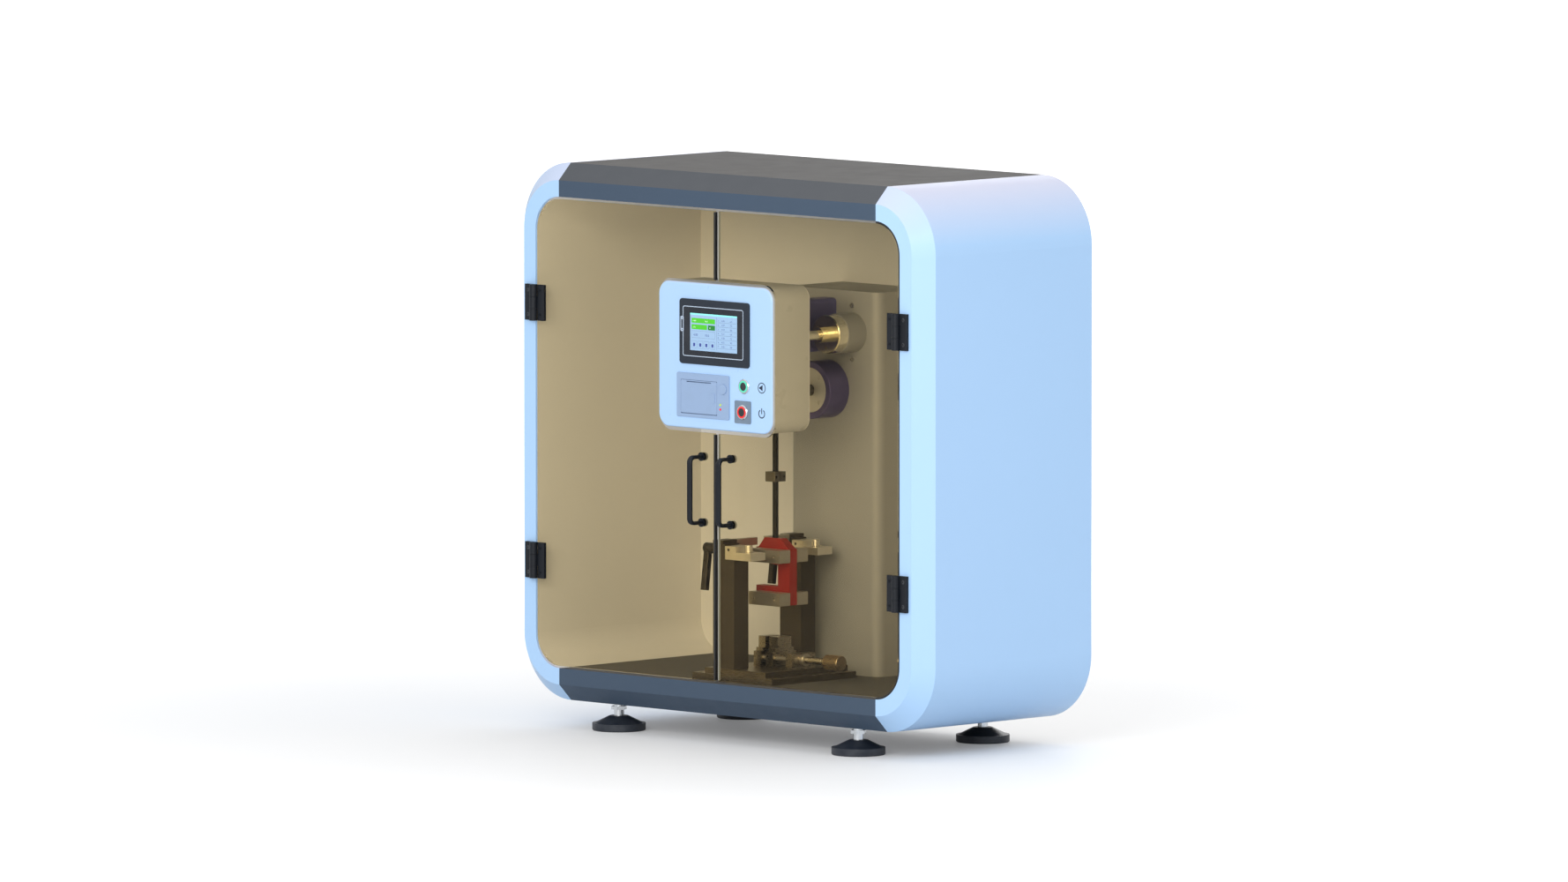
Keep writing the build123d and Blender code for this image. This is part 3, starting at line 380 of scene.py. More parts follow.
moulded_skin = moulded_group()
machined_metal = machined_group()
pad_rubber = finish_material("pad_rubber", moulded_skin,
                             {"Colour": (0.012, 0.017, 0.028, 1), "Dust": (0.10, 0.11, 0.12, 1),
                              "Dust amount": 0.25, "Gloss": 0.42, "Grain": 900.0}, bump=0.2)
stud_chrome = finish_material("stud_chrome", machined_metal,
                              {"Colour": (0.72, 0.75, 0.78, 1), "Stain": (0.5, 0.53, 0.56, 1),
                               "Gloss": 0.16, "Stretch": (900.0, 900.0, 60.0)}, metallic=1.0, bump=0.05)
dress(pad_rubber, "foot_pads")
dress(stud_chrome, "foot_studs")


# Rear fittings and fasteners: the mains inlet is a black moulding that snaps into the back.
# The screws of the rear cover are zinc plated steel, and those of the hinges are blackened.
inlet_plastic = finish_material("inlet_plastic", moulded_skin,
                                {"Colour": (0.018, 0.018, 0.02, 1), "Dust": (0.12, 0.12, 0.12, 1),
                                 "Dust amount": 0.15, "Gloss": 0.45, "Grain": 1800.0}, bump=0.2)
screw_zinc = finish_material("screw_zinc", machined_metal,
                             {"Colour": (0.52, 0.53, 0.55, 1), "Stain": (0.32, 0.32, 0.32, 1),
                              "Gloss": 0.3, "Stretch": (600.0, 600.0, 600.0)}, metallic=1.0, bump=0.1)
dress(inlet_plastic, "power_inlet")
recolour_where(screw_zinc, (0.10, 0.105, 0.115, 1), (("Y", "LESS_THAN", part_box("left_pane")[0].y),))
dress(screw_zinc, "cabinet_screws")


# Doors: panes of bronze float glass with polished edges. The left one wears a black rubber
# seal on its free edge, and a black strip round the right half of the opening is painted shadow in the gap.
# Light from the lamps passes the glass untinted, so that the inside is lit evenly.
pane_ior = 1.15
smear_roughness = 0.004
bronze = bpy.data.materials.new("bronze_glass")
bronze.use_nodes = True
bronze_tree = bronze.node_tree
pane_shader = bronze_tree.nodes["Principled BSDF"]
pane_shader.inputs["Transmission Weight"].default_value = 1.0
pane_shader.inputs["IOR"].default_value = pane_ior
pane_place = bronze_tree.nodes.new("ShaderNodeTexCoord")
pane_haze = bronze_tree.nodes.new("ShaderNodeTexNoise")
pane_haze.inputs["Scale"].default_value = 5.0
pane_haze.inputs["Detail"].default_value = 3.0
pane_tint = bronze_tree.nodes.new("ShaderNodeMix")
pane_tint.data_type = "RGBA"
pane_tint.inputs["A"].default_value = (0.86, 0.74, 0.48, 1)
pane_tint.inputs["B"].default_value = (0.83, 0.715, 0.465, 1)
pane_smear = bronze_tree.nodes.new("ShaderNodeMapRange")
pane_smear.inputs["To Min"].default_value = 0.0
pane_smear.inputs["To Max"].default_value = smear_roughness
bronze_tree.links.new(pane_place.outputs["Object"], pane_haze.inputs["Vector"])
bronze_tree.links.new(pane_haze.outputs["Fac"], pane_tint.inputs["Factor"])
bronze_tree.links.new(pane_haze.outputs["Fac"], pane_smear.inputs["Value"])
bronze_tree.links.new(pane_tint.outputs["Result"], pane_shader.inputs["Base Color"])
bronze_tree.links.new(pane_smear.outputs["Result"], pane_shader.inputs["Roughness"])
pane_clear = bronze_tree.nodes.new("ShaderNodeBsdfTransparent")
pane_clear.inputs["Color"].default_value = (1, 1, 1, 1)
pane_rays = bronze_tree.nodes.new("ShaderNodeLightPath")
pane_mix = bronze_tree.nodes.new("ShaderNodeMixShader")
pane_light = bronze_tree.nodes.new("ShaderNodeMath")
pane_light.operation = "MAXIMUM"
bronze_tree.links.new(pane_rays.outputs["Is Shadow Ray"], pane_light.inputs[0])
bronze_tree.links.new(pane_rays.outputs["Is Diffuse Ray"], pane_light.inputs[1])
bronze_tree.links.new(pane_light.outputs[0], pane_mix.inputs[0])
bronze_tree.links.new(pane_shader.outputs[0], pane_mix.inputs[1])
bronze_tree.links.new(pane_clear.outputs[0], pane_mix.inputs[2])
bronze_tree.links.new(pane_mix.outputs[0], bronze_tree.nodes["Material Output"].inputs["Surface"])
dress(bronze, "left_pane", "right_pane")

# Black rubber of the left door's seals. The same black also makes the painted gap shadow at the right of the
# opening.
seal_and_shadow_black = finish_material("seal_and_shadow_black", moulded_skin,
                              {"Colour": (0.008, 0.008, 0.009, 1), "Dust": (0.05, 0.05, 0.05, 1),
                               "Dust amount": 0.2, "Gloss": 0.5, "Grain": 1200.0}, bump=0.1)
seal_t = 3.8 * MM
trim_t = 1.4 * MM
strip_round = 0.3 * MM
seal_margin = 2 * MM
notch_clear_low = 6 * MM
notch_clear_high = 4 * MM
pane_low, pane_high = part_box("left_pane")
pane_y = (pane_low.y + pane_high.y) / 2
notch_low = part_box("control_box")[0].z - notch_clear_low
notch_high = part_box("control_box")[1].z + notch_clear_high


def edge_strip(name, body, edge_x, side, low, high, thick, finish):
    bpy.ops.object.select_all(action="DESELECT")
    middle = (edge_x + side * thick / 2, pane_y, (low + high) / 2)
    bpy.ops.mesh.primitive_cube_add(size=1, location=middle)
    strip = bpy.context.object
    strip.name = name
    strip.scale = (thick, pane_high.y - pane_low.y, high - low)
    bpy.ops.object.transform_apply(location=True, rotation=True, scale=True)
    bpy.ops.object.mode_set(mode="EDIT")
    bpy.ops.mesh.select_all(action="SELECT")
    bpy.ops.mesh.bevel(offset=strip_round, segments=2, affect="EDGES")
    bpy.ops.object.mode_set(mode="OBJECT")
    strip.data.materials.append(finish)
    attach(strip, body)


edge_polish = finish_material("edge_polish", moulded_skin,
                              {"Colour": (0.38, 0.39, 0.36, 1), "Dust": (0.28, 0.28, 0.26, 1),
                               "Dust amount": 0.3, "Gloss": 0.18, "Grain": 900.0}, bump=0.03)
left_free_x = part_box("left_pane")[1].x
right_free_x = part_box("right_pane")[0].x
for height, low, high in (("lower", pane_low.z + seal_margin, notch_low - seal_margin),
                          ("upper", notch_high + seal_margin, pane_high.z - seal_margin)):
    edge_strip("left_seal_" + height, "left_door", left_free_x, 1, low, high, seal_t,
               seal_and_shadow_black)
    edge_strip("right_trim_" + height, "right_door", right_free_x, -1, low, high, trim_t,
               edge_polish)

# A black strip round the right half of the opening, just behind the pane's edge. It is painted shadow in the
# gap between pane and shell, not a gasket.
gap_shadow_w = 3.6 * MM
gap_shadow_depth = 4.5 * MM
gap_shadow_set_back = 0.4 * MM
gap_shadow_y = pane_low.y + gap_shadow_set_back + gap_shadow_depth
opening_r = opening_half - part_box("top_bridge")[1].x
bpy.ops.object.select_all(action="DESELECT")
bpy.ops.mesh.primitive_plane_add(size=1, location=(0, gap_shadow_y, (opening_low + opening_high) / 2),
                                 rotation=(math.pi / 2, 0, 0))
gap_shadow = bpy.context.object
gap_shadow.name = "right_gap_shadow"
gap_shadow.scale = (2 * opening_half, opening_high - opening_low, 1)
bpy.ops.object.transform_apply(location=True, rotation=True, scale=True)
bpy.ops.object.mode_set(mode="EDIT")
bpy.ops.mesh.select_all(action="SELECT")
bpy.ops.mesh.bevel(offset=opening_r, segments=16, affect="VERTICES")
bpy.ops.mesh.inset(thickness=gap_shadow_w, depth=0)
bpy.ops.mesh.delete(type="FACE")
bpy.ops.mesh.select_all(action="SELECT")
bpy.ops.mesh.extrude_region_move(TRANSFORM_OT_translate={"value": (0, -gap_shadow_depth, 0)})
bpy.ops.mesh.select_all(action="SELECT")
bpy.ops.mesh.bisect(plane_co=(opening_half - opening_r, 0, 0), plane_no=(1, 0, 0), use_fill=True,
                    clear_inner=True)
bpy.ops.mesh.select_all(action="SELECT")
bpy.ops.mesh.normals_make_consistent(inside=False)
bpy.ops.object.mode_set(mode="OBJECT")
gap_shadow.data.materials.append(seal_and_shadow_black)
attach(gap_shadow, "cabinet")


# Fittings of the doors: hinge leaves of steel and pulls bent from flat oval bar, all
# powder coated black. Turned steel nuts clamp the pulls from behind the glass.
black_enamel = finish_material("black_enamel", powder_coat,
                               {"Colour": (0.006, 0.008, 0.012, 1), "Shade": (0.015, 0.018, 0.024, 1),
                                "Gloss": 0.4, "Peel": 900.0}, bump=0.15, shine=0.25)
handle_enamel = finish_material("handle_enamel", powder_coat,
                                {"Colour": (0.006, 0.008, 0.012, 1), "Shade": (0.015, 0.018, 0.024, 1),
                                 "Gloss": 0.35, "Peel": 900.0}, bump=0.12, shine=0.25)
recolour_where(handle_enamel, (0.30, 0.29, 0.27, 1), (("Y", "GREATER_THAN", pane_high.y),))
dress(black_enamel, "hinge_cabinet_leaves", "left_door_leaves", "right_door_leaves")
dress(handle_enamel, "left_handle", "right_handle")


# Control box: a welded steel shell with a pale powder coat and a screwed rear cover. It
# hangs on an arm from the pillar and reaches out through the notch between the doors.
# Its Top light colour is painted light from above, on faces that point up.
box_coat = finish_material("box_coat", powder_coat,
                           {"Colour": (0.43, 0.64, 0.93, 1), "Shade": (0.415, 0.62, 0.9, 1),
                            "Top light": (0.60, 0.64, 0.78, 1), "Top light amount": 0.6,
                            "Gloss": 0.3, "Peel": 800.0}, bump=0.08, coat=0.1)
arm_coat = finish_material("arm_coat", powder_coat,
                           {"Colour": (0.13, 0.12, 0.30, 1), "Shade": (0.11, 0.10, 0.26, 1),
                            "Gloss": 0.4, "Peel": 700.0}, bump=0.12)
recolour_where(box_coat, (0.60, 0.58, 0.54, 1), (("Y", "GREATER_THAN", pane_low.y),))
dress(box_coat, "control_box")
dress(liner_coat, "control_cover")
dress(arm_coat, "control_arm")


# Operator panel: a black moulded bezel round a gloss cover film, set into the box.
# A pale line is printed round the film, and a tab at the left holds two contacts.
bezel_plastic = finish_material("bezel_plastic", moulded_skin,
                                {"Colour": (0.02, 0.027, 0.04, 1), "Dust": (0.05, 0.055, 0.065, 1),
                                 "Dust amount": 0.1, "Gloss": 0.42, "Grain": 1600.0}, bump=0.2, shine=0.25)
film = finish_material("screen_film", moulded_skin,
                       {"Colour": (0.012, 0.016, 0.024, 1), "Dust": (0.05, 0.05, 0.06, 1),
                        "Dust amount": 0.15, "Gloss": 0.16, "Grain": 300.0}, bump=0.01)
dress(bezel_plastic, "hmi_bezel")
dress(film, "hmi_screen")

screen_low, screen_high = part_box("hmi_screen")
panel_y = screen_low.y
bezel_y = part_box("hmi_bezel")[0].y
ink_t = 0.06 * MM
letter_t = 0.03 * MM
tab_t = 0.3 * MM


def printed(name, colour, glow, rough):
    made = finish_material(name, moulded_skin,
                           {"Colour": colour, "Dust": tuple(0.9 * c for c in colour[:3]) + (1,),
                            "Dust amount": 0.2, "Gloss": rough, "Grain": 1500.0}, bump=0.02)
    shader = made.node_tree.nodes["Principled BSDF"]
    shader.inputs["Emission Color"].default_value = colour
    shader.inputs["Emission Strength"].default_value = glow
    return made


def flat_mark(name, x0, x1, z0, z1, y, ink, radius=0.0, rim=0.0, lift=ink_t):
    bpy.ops.object.select_all(action="DESELECT")
    bpy.ops.mesh.primitive_plane_add(size=1, location=((x0 + x1) / 2, y, (z0 + z1) / 2),
                                     rotation=(math.pi / 2, 0, 0))
    mark = bpy.context.object
    mark.name = name
    mark.scale = (x1 - x0, z1 - z0, 1)
    bpy.ops.object.transform_apply(location=True, rotation=True, scale=True)
    bpy.ops.object.mode_set(mode="EDIT")
    bpy.ops.mesh.select_all(action="SELECT")
    if radius:
        bpy.ops.mesh.bevel(offset=radius, segments=5, affect="VERTICES")
    if rim:
        bpy.ops.mesh.inset(thickness=rim, depth=0)
        bpy.ops.mesh.delete(type="FACE")
        bpy.ops.mesh.select_all(action="SELECT")
    bpy.ops.mesh.extrude_region_move(TRANSFORM_OT_translate={"value": (0, -lift, 0)})
    bpy.ops.mesh.select_all(action="SELECT")
    bpy.ops.mesh.normals_make_consistent(inside=False)
    bpy.ops.object.mode_set(mode="OBJECT")
    mark.data.materials.append(ink)
    return mark


def written(name, words, x, z, y, height, ink):
    bpy.ops.object.select_all(action="DESELECT")
    bpy.ops.object.text_add(location=(x, y, z), rotation=(math.pi / 2, 0, 0))
    line = bpy.context.object
    line.name = name
    line.data.body = words
    line.data.size = height
    line.data.extrude = letter_t
    line.data.resolution_u = 2
    bpy.ops.object.convert(target="MESH")
    bpy.ops.object.transform_apply(location=True, rotation=True, scale=True)
    bpy.context.object.data.materials.append(ink)
    return bpy.context.object


def join_marks(name, marks, body):
    bpy.ops.object.select_all(action="DESELECT")
    for mark in marks:
        mark.select_set(True)
    bpy.context.view_layer.objects.active = marks[0]
    bpy.ops.object.join()
    joined = bpy.context.object
    joined.name = name
    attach(joined, body)


page_ink = printed("page_light", (0.33, 0.50, 0.72, 1), 0.08, 0.3)
green_ink = printed("bar_green", (0.07, 0.50, 0.02, 1), 0.25, 0.2)
deep_ink = printed("bar_deep_green", (0.01, 0.20, 0.02, 1), 0.2, 0.2)
teal_ink = printed("bar_teal", (0.25, 0.75, 0.72, 1), 0.3, 0.2)
text_ink = printed("text_blue", (0.04, 0.06, 0.30, 1), 0.0, 0.3)
faint_ink = printed("rule_grey", (0.16, 0.24, 0.40, 1), 0.0, 0.3)
white_ink = printed("text_white", (0.75, 0.92, 0.75, 1), 0.3, 0.2)
page_margin_left, page_margin_right = 17.8 * MM, 15.2 * MM
page_margin_low, page_margin_high = 11.15 * MM, 11.25 * MM
page_x = screen_low.x + page_margin_left
page_z = screen_low.z + page_margin_low
page_w = screen_high.x - page_margin_right - page_x
page_h = screen_high.z - page_margin_high - page_z
value_height, result_height, row_height = 3.4 * MM, 6.0 * MM, 4.2 * MM
bar_round, key_round, key_rim = 0.8 * MM, 1.0 * MM, 0.35 * MM


def on_page(u, v):
    return page_x + u * page_w, page_z + v * page_h


def page_mark(u0, u1, v0, v1, ink, layer=1, radius=0.0, rim=0.0):
    x0, z0 = on_page(u0, v0)
    x1, z1 = on_page(u1, v1)
    return flat_mark("page_mark", x0, x1, z0, z1, panel_y - layer * ink_t, ink, radius, rim)


def page_text(u, v, words, height, ink, layer=1):
    x, z = on_page(u, v)
    return written("page_text", words, x, z, panel_y - layer * ink_t, height, ink)


page = [page_mark(0, 1, 0, 1, page_ink, 0)]
page.append(page_mark(0, 1, 0.955, 1, teal_ink))
for left, right, low, high, ink in ((0.03, 0.53, 0.74, 0.87, green_ink), (0.03, 0.36, 0.57, 0.70, green_ink),
                                    (0.38, 0.53, 0.57, 0.70, deep_ink)):
    page.append(page_mark(left, right, low, high, ink, radius=bar_round))
for left, low, words in ((0.06, 0.78, "0.000"), (0.31, 0.78, "150.0"), (0.06, 0.61, "2.00"),
                         (0.41, 0.61, "01")):
    page.append(page_text(left, low, words, value_height, white_ink, 2))
page.append(page_mark(0.03, 0.53, 0.34, 0.53, faint_ink, radius=bar_round, rim=key_rim))
for left, words in ((0.07, "4.00"), (0.31, "10.0")):
    page.append(page_text(left, 0.39, words, result_height, text_ink))

key_count, key_left, key_step, key_w = 4, 0.03, 0.13, 0.11
sign_left, sign_w = 0.035, 0.04
sign_round, sign_round_step = 0.3 * MM, 0.45 * MM
for column in range(key_count):
    left = key_left + column * key_step
    page.append(page_mark(left, left + key_w, 0.06, 0.26, faint_ink, radius=key_round, rim=key_rim))
    page.append(page_mark(left + sign_left, left + sign_left + sign_w, 0.11, 0.20, text_ink,
                          radius=sign_round + sign_round_step * column))
page.append(page_mark(0.565, 0.57, 0.05, 0.92, faint_ink))

row_count, top_row, row_step = 7, 0.82, 0.115
row_number, row_energy, row_strength, row_end = 0.59, 0.67, 0.85, 0.98
rule_drop, rule_w = 0.032, 0.007
for row in range(row_count):
    level = top_row - row * row_step
    energy = "4.%02d" % (7 * row % 40)
    strength = "%d.%d" % (6 + row % 3, 3 * row % 10)
    page.append(page_text(row_number, level, str(row + 1), row_height, text_ink))
    page.append(page_text(row_energy, level, energy, row_height, text_ink))
    page.append(page_text(row_strength, level, strength, row_height, text_ink))
    page.append(page_mark(row_number, row_end, level - rule_drop, level - rule_drop + rule_w, faint_ink))
join_marks("display_page", page, "cabinet")

line_ink = printed("line_light", (0.50, 0.60, 0.74, 1), 0.0, 0.35)
outline_x0, outline_x1 = screen_low.x, screen_high.x - 0.1 * MM
outline_z0, outline_z1 = screen_low.z + 0.45 * MM, screen_high.z + 0.35 * MM
outline_round, outline_w = 4 * MM, 1.3 * MM
frame_line = flat_mark("frame_line", outline_x0, outline_x1, outline_z0, outline_z1, panel_y,
                       line_ink, outline_round, outline_w, tab_t)
tab_rise, tab_half, slot_half = 12 * MM, 13 * MM, 8 * MM
tab_round, slot_round, dot_round = 2.2 * MM, 0.6 * MM, 1.05 * MM
tab_left, tab_right = outline_x0 - 5 * MM, outline_x0 + 2.5 * MM
slot_left, slot_right = outline_x0 - 3.3 * MM, outline_x0 + 0.8 * MM
tab_mid = (outline_z0 + outline_z1) / 2 + tab_rise
tab = flat_mark("tab", tab_left, tab_right, tab_mid - tab_half, tab_mid + tab_half, bezel_y,
                line_ink, tab_round, 0.0, tab_t)
tab_slot = flat_mark("tab_slot", slot_left, slot_right, tab_mid - slot_half, tab_mid + slot_half,
                     bezel_y - tab_t, bezel_plastic, slot_round)
dot_left, dot_size, dot_shift = outline_x0 - 2.4 * MM, 2.2 * MM, 10.4 * MM
dots = []
for shift in (-dot_shift, dot_shift):
    dots.append(flat_mark("tab_dot", dot_left, dot_left + dot_size, tab_mid + shift - dot_size / 2,
                          tab_mid + shift + dot_size / 2, bezel_y - tab_t, bezel_plastic,
                          dot_round))
join_marks("panel_outline", [frame_line, tab, tab_slot] + dots, "cabinet")


# Strip printer: a grey moulded frame with a well for the roll of paper. Its door drops
# down on two pegs, and the feed button stands at its right.
printer_plastic = finish_material("printer_plastic", moulded_skin,
                                  {"Colour": (0.29, 0.41, 0.62, 1), "Dust": (0.24, 0.33, 0.48, 1),
                                   "Dust amount": 0.2, "Gloss": 0.4, "Grain": 1600.0}, bump=0.15)
roll_paper = finish_material("roll_paper", moulded_skin,
                             {"Colour": (0.85, 0.85, 0.82, 1), "Dust": (0.7, 0.7, 0.66, 1),
                              "Dust amount": 0.2, "Gloss": 0.8, "Grain": 2500.0}, bump=0.2)
dress(printer_plastic, "printer_frame", "paper_door", "feed_button")
dress(roll_paper, "paper_roll")


# Push buttons: polished metal bezels screwed through the box, with lit rings of coloured
# plastic and dark caps. The lower one sits on a grey plate. Printed symbols say what they do.
def lens_material(name, colour, glow):
    made = finish_material(name, moulded_skin,
                           {"Colour": colour, "Dust": colour, "Dust amount": 0.1,
                            "Gloss": 0.2, "Grain": 500.0}, bump=0.02, coat=0.4)
    shader = made.node_tree.nodes["Principled BSDF"]
    shader.inputs["Emission Color"].default_value = colour
    shader.inputs["Emission Strength"].default_value = glow
    return made


cap_plastic = finish_material("cap_plastic", moulded_skin,
                              {"Colour": (0.015, 0.02, 0.022, 1), "Dust": (0.1, 0.1, 0.1, 1),
                               "Dust amount": 0.1, "Gloss": 0.25, "Grain": 900.0}, bump=0.05, coat=0.3)
plate_plastic = finish_material("plate_plastic", moulded_skin,
                                {"Colour": (0.16, 0.22, 0.30, 1), "Dust": (0.24, 0.30, 0.38, 1),
                                 "Dust amount": 0.3, "Gloss": 0.2, "Grain": 600.0}, bump=0.03, coat=0.3)
dress(stud_chrome, "button_bezels")
dress(cap_plastic, "start_button", "power_button")
dress(plate_plastic, "power_plate")
dress(lens_material("start_lens", (0.10, 0.62, 0.42, 1), 0.25), "start_ring")
dress(lens_material("power_lens", (0.75, 0.02, 0.02, 1), 0.25), "power_ring")
led_lens = lens_material("led_lens", (0.45, 0.62, 0.06, 1), 0.3)
led_low, led_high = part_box("status_leds")
recolour_where(led_lens, (0.80, 0.01, 0.02, 1), (("Z", "LESS_THAN", (led_low.z + led_high.z) / 2),),
               ("Base Color", "Emission Color"))
dress(led_lens, "status_leds")

symbol_ink = printed("symbol_ink", (0.012, 0.022, 0.05, 1), 0.0, 0.5)
face_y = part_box("control_box")[0].y
symbol_x = (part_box("power_plate")[1].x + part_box("control_box")[1].x) / 2
start_z = (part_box("start_button")[0].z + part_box("start_button")[1].z) / 2
power_z = (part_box("power_button")[0].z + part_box("power_button")[1].z) / 2


def ring_mark(name, x, z, y, radius, width, ink, gap_from=0.0, gap_to=0.0):
    bpy.ops.object.select_all(action="DESELECT")
    bpy.ops.mesh.primitive_circle_add(vertices=48, radius=radius, location=(x, y, z),
                                      rotation=(math.pi / 2, 0, 0), fill_type="NGON")
    ring = bpy.context.object
    ring.name = name
    bpy.ops.object.transform_apply(location=True, rotation=True, scale=True)
    bpy.ops.object.mode_set(mode="EDIT")
    bpy.ops.mesh.select_all(action="SELECT")
    bpy.ops.mesh.inset(thickness=width, depth=0)
    bpy.ops.mesh.delete(type="FACE")
    bpy.ops.mesh.select_all(action="DESELECT")
    bpy.ops.object.mode_set(mode="OBJECT")
    for face in ring.data.polygons:
        angle = math.degrees(math.atan2(face.center.z - z, face.center.x - x)) % 360
        face.select = gap_from < angle < gap_to
    bpy.ops.object.mode_set(mode="EDIT")
    bpy.ops.mesh.select_mode(type="FACE")
    if gap_to > gap_from:
        bpy.ops.mesh.delete(type="FACE")
    bpy.ops.mesh.select_all(action="SELECT")
    bpy.ops.mesh.extrude_region_move(TRANSFORM_OT_translate={"value": (0, -ink_t, 0)})
    bpy.ops.mesh.select_all(action="SELECT")
    bpy.ops.mesh.normals_make_consistent(inside=False)
    bpy.ops.object.mode_set(mode="OBJECT")
    ring.data.materials.append(ink)
    return ring


arc_radius, arc_w = 8 * MM, 2 * MM
arc_gap_from, arc_gap_to = 62, 118
bar_half, bar_low, bar_high, bar_end_round = 1 * MM, -0.5 * MM, 9.5 * MM, 0.4 * MM
power_symbol = [
    ring_mark("power_arc", symbol_x, power_z, face_y, arc_radius, arc_w, symbol_ink,
              arc_gap_from, arc_gap_to),
    flat_mark("power_bar", symbol_x - bar_half, symbol_x + bar_half, power_z + bar_low,
              power_z + bar_high, face_y, symbol_ink, bar_end_round)]
join_marks("power_symbol", power_symbol, "cabinet")

arrow_radius, arrow_round, arrow_shift = 6.2 * MM, 0.6 * MM, 1 * MM
arrow_place = (symbol_x - arrow_shift, face_y, start_z)
bpy.ops.object.select_all(action="DESELECT")
bpy.ops.mesh.primitive_circle_add(vertices=3, radius=arrow_radius, location=arrow_place,
                                  rotation=(math.pi / 2, 0, 0), fill_type="NGON")
start_arrow = bpy.context.object
bpy.ops.transform.rotate(value=math.pi / 2, orient_axis="Y", center_override=arrow_place)
bpy.ops.object.transform_apply(location=True, rotation=True, scale=True)
bpy.ops.object.mode_set(mode="EDIT")
bpy.ops.mesh.select_all(action="SELECT")
bpy.ops.mesh.bevel(offset=arrow_round, segments=3, affect="VERTICES")
bpy.ops.mesh.extrude_region_move(TRANSFORM_OT_translate={"value": (0, -ink_t, 0)})
bpy.ops.mesh.select_all(action="SELECT")
bpy.ops.mesh.normals_make_consistent(inside=False)
bpy.ops.object.mode_set(mode="OBJECT")
start_arrow.data.materials.append(symbol_ink)
circle_radius, circle_w = 9.4 * MM, 1.6 * MM
start_ring_mark = ring_mark("start_arc", symbol_x, start_z, face_y, circle_radius, circle_w, symbol_ink)
join_marks("start_symbol", [start_arrow, start_ring_mark], "cabinet")


# Pillar, bearing and catch behind the pendulum: a coated sheet pillar carries a turned
# bearing housing with its cover, and the brass coloured catch that holds the hammer up.
bearing_steel = finish_material("bearing_steel", machined_metal,
                                {"Colour": (0.15, 0.13, 0.32, 1), "Stain": (0.10, 0.09, 0.22, 1),
                                 "Gloss": 0.34, "Stretch": (700.0, 60.0, 700.0)}, metallic=0.5, bump=0.08)
cover_metal = finish_material("cover_metal", machined_metal,
                              {"Colour": (0.8, 0.78, 0.74, 1), "Stain": (0.66, 0.64, 0.6, 1),
                               "Gloss": 0.45, "Stretch": (500.0, 500.0, 500.0)}, metallic=0.5, bump=0.06)
ground_steel = finish_material("ground_steel", machined_metal,
                               {"Colour": (0.46, 0.43, 0.39, 1), "Stain": (0.34, 0.32, 0.29, 1),
                                "Gloss": 0.36, "Stretch": (90.0, 1500.0, 1500.0)}, metallic=0.85, bump=0.05)
dark_steel = finish_material("dark_steel", machined_metal,
                             {"Colour": (0.17, 0.16, 0.15, 1), "Stain": (0.10, 0.095, 0.09, 1),
                              "Gloss": 0.34, "Stretch": (900.0, 900.0, 60.0)}, metallic=0.9, bump=0.1)
pillar_coat = finish_material("pillar_coat", powder_coat,
                              {"Colour": (0.35, 0.342, 0.325, 1), "Shade": (0.325, 0.318, 0.30, 1),
                               "Gloss": 0.42, "Peel": 500.0}, bump=0.12)
dress(pillar_coat, "pillar_housing")
dress(bearing_steel, "bearing_housing")
catch_brass = finish_material("catch_brass", machined_metal,
                              {"Colour": (0.86, 0.82, 0.7, 1), "Stain": (0.42, 0.38, 0.3, 1),
                               "Gloss": 0.18, "Stretch": (900.0, 80.0, 900.0)}, metallic=1, bump=0.06)
dress(cover_metal, "bearing_cover")
dress(catch_brass, "catch_hub", "release_plunger")


# Pendulum: a blackened steel rod hangs from the pivot shaft and carries a clamp block and
# a red enamelled plate. Two ground steel cheeks and the striker are bolted to the plate.
red_enamel = finish_material("red_enamel", powder_coat,
                             {"Colour": (0.31, 0.022, 0.017, 1), "Shade": (0.24, 0.017, 0.013, 1),
                              "Gloss": 0.36, "Peel": 900.0}, bump=0.1, coat=0.05, shine=0.3)
rod_black = finish_material("rod_black", machined_metal,
                            {"Colour": (0.01, 0.01, 0.01, 1), "Stain": (0.02, 0.019, 0.018, 1),
                             "Gloss": 0.35, "Stretch": (600.0, 600.0, 40.0)},
                            metallic=0.1, bump=0.06, shine=0.25)
dress(dark_steel, "pivot_shaft", "rod_clamp")
dress(rod_black, "pendulum_rod")
dress(red_enamel, "hammer_plate")
dress(ground_steel, "hammer_cheeks", "cheek_bolts", "striker")


# Specimen station: two steel plates carry dark columns with bright support arms, anvils
# and clamp levers. On the upper plate stands a vise with two guide rods and a lead screw.
plate_steel = finish_material("plate_steel", machined_metal,
                              {"Colour": (0.15, 0.132, 0.11, 1), "Stain": (0.1, 0.088, 0.074, 1),
                               "Gloss": 0.3, "Stretch": (60.0, 900.0, 900.0)}, metallic=0.9, bump=0.1)
bright_steel = finish_material("bright_steel", machined_metal,
                               {"Colour": (0.8, 0.77, 0.71, 1), "Stain": (0.6, 0.57, 0.51, 1),
                                "Gloss": 0.34, "Stretch": (90.0, 1500.0, 1500.0)}, metallic=0.95, bump=0.05)
knob_steel = finish_material("knob_steel", machined_metal,
                             {"Colour": (0.40, 0.33, 0.26, 1), "Stain": (0.26, 0.21, 0.17, 1),
                              "Gloss": 0.3, "Stretch": (60.0, 900.0, 900.0)}, metallic=1.0, bump=0.1)
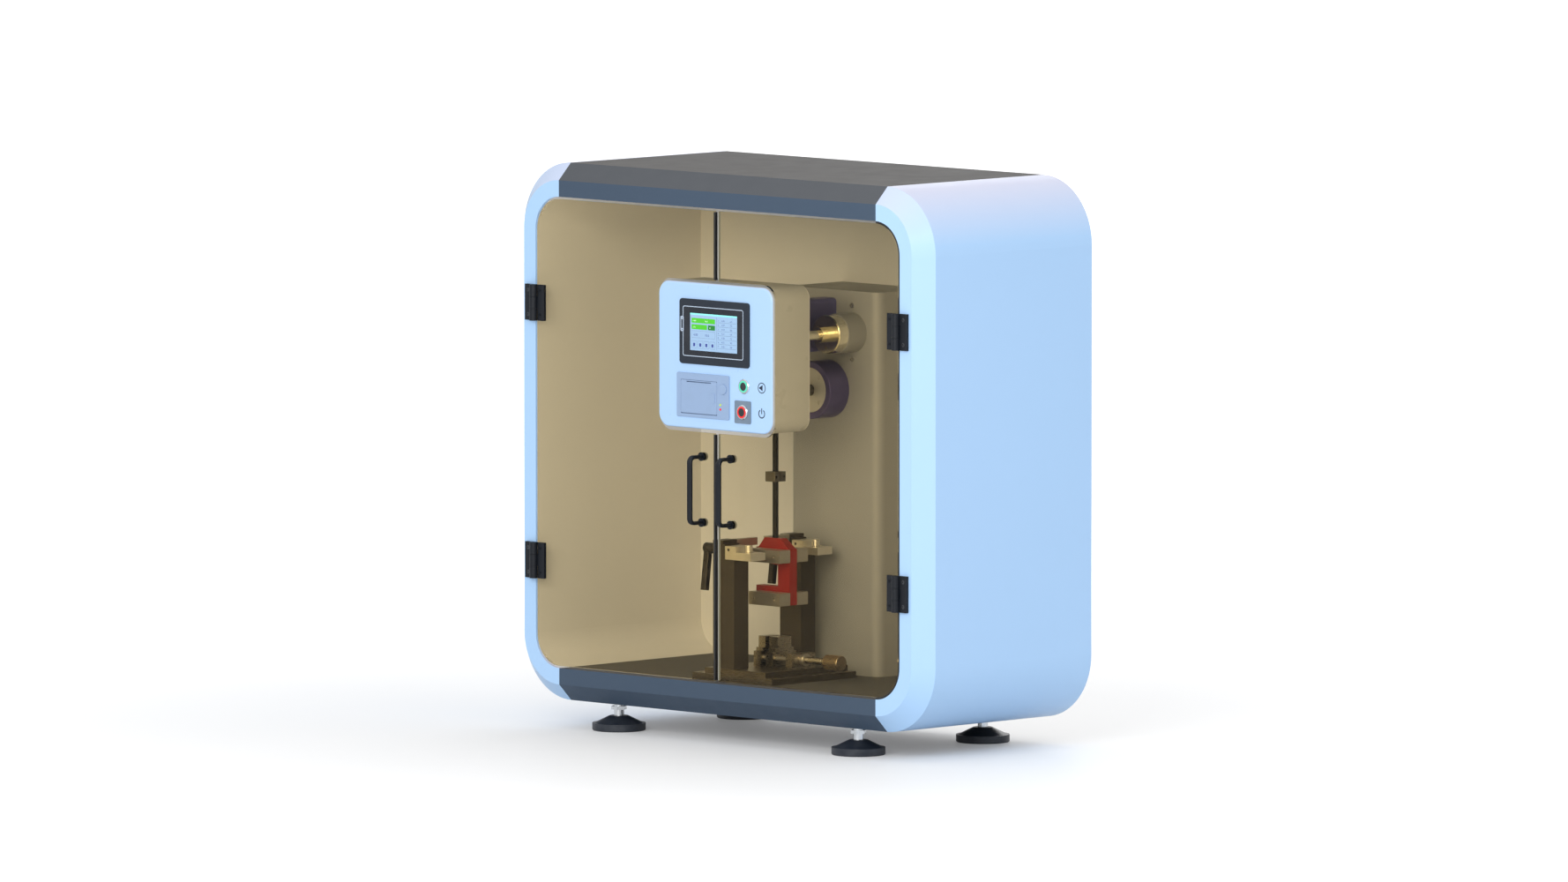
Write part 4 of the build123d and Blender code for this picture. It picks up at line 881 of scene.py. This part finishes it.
lever_black = finish_material("lever_black", machined_metal,
                              {"Colour": (0.03, 0.027, 0.025, 1), "Stain": (0.06, 0.05, 0.045, 1),
                               "Gloss": 0.3, "Stretch": (900.0, 900.0, 60.0)}, metallic=0.5, bump=0.05)
jaw_steel = finish_material("jaw_steel", machined_metal,
                            {"Colour": (0.36, 0.33, 0.29, 1), "Stain": (0.24, 0.22, 0.19, 1),
                             "Gloss": 0.3, "Stretch": (900.0, 90.0, 900.0)}, metallic=1, bump=0.06)
dress(plate_steel, "lower_plate", "upper_plate")
dress(bright_steel, "support_arms", "locating_screws")
dress(ground_steel, "anvils", "guide_rods")
dress(jaw_steel, "fixed_jaw", "moving_jaw", "end_plate")
dress(knob_steel, "vise_knob")
dress(lever_black, "front_clamp_lever", "rear_clamp_lever")

screw_thread = finish_material("screw_thread", machined_metal,
                               {"Colour": (0.60, 0.57, 0.52, 1), "Stain": (0.35, 0.32, 0.28, 1),
                                "Gloss": 0.22, "Stretch": (300.0, 600.0, 600.0)}, metallic=1.0)
thread_tree = screw_thread.node_tree
thread_place = thread_tree.nodes.new("ShaderNodeTexCoord")
thread_wave = thread_tree.nodes.new("ShaderNodeTexWave")
thread_wave.bands_direction = "X"
thread_pitch, thread_depth = 4 * MM, 0.6 * MM
wave_factor = 20
thread_wave.inputs["Scale"].default_value = 2 * math.pi / wave_factor / thread_pitch
thread_bump = thread_tree.nodes.new("ShaderNodeBump")
thread_bump.inputs["Strength"].default_value = 0.9
thread_bump.inputs["Distance"].default_value = thread_depth
thread_tree.links.new(thread_place.outputs["Object"], thread_wave.inputs["Vector"])
thread_tree.links.new(thread_wave.outputs["Fac"], thread_bump.inputs["Height"])
thread_tree.links.new(thread_bump.outputs["Normal"], thread_tree.nodes["Principled BSDF"].inputs["Normal"])
dress(screw_thread, "lead_screw")
column_brown = finish_material("column_brown", machined_metal,
                               {"Colour": (0.075, 0.062, 0.048, 1), "Stain": (0.05, 0.042, 0.034, 1),
                                "Gloss": 0.42, "Stretch": (900.0, 900.0, 60.0)}, metallic=0.5, bump=0.1)
dress(column_brown, "front_column", "rear_column")
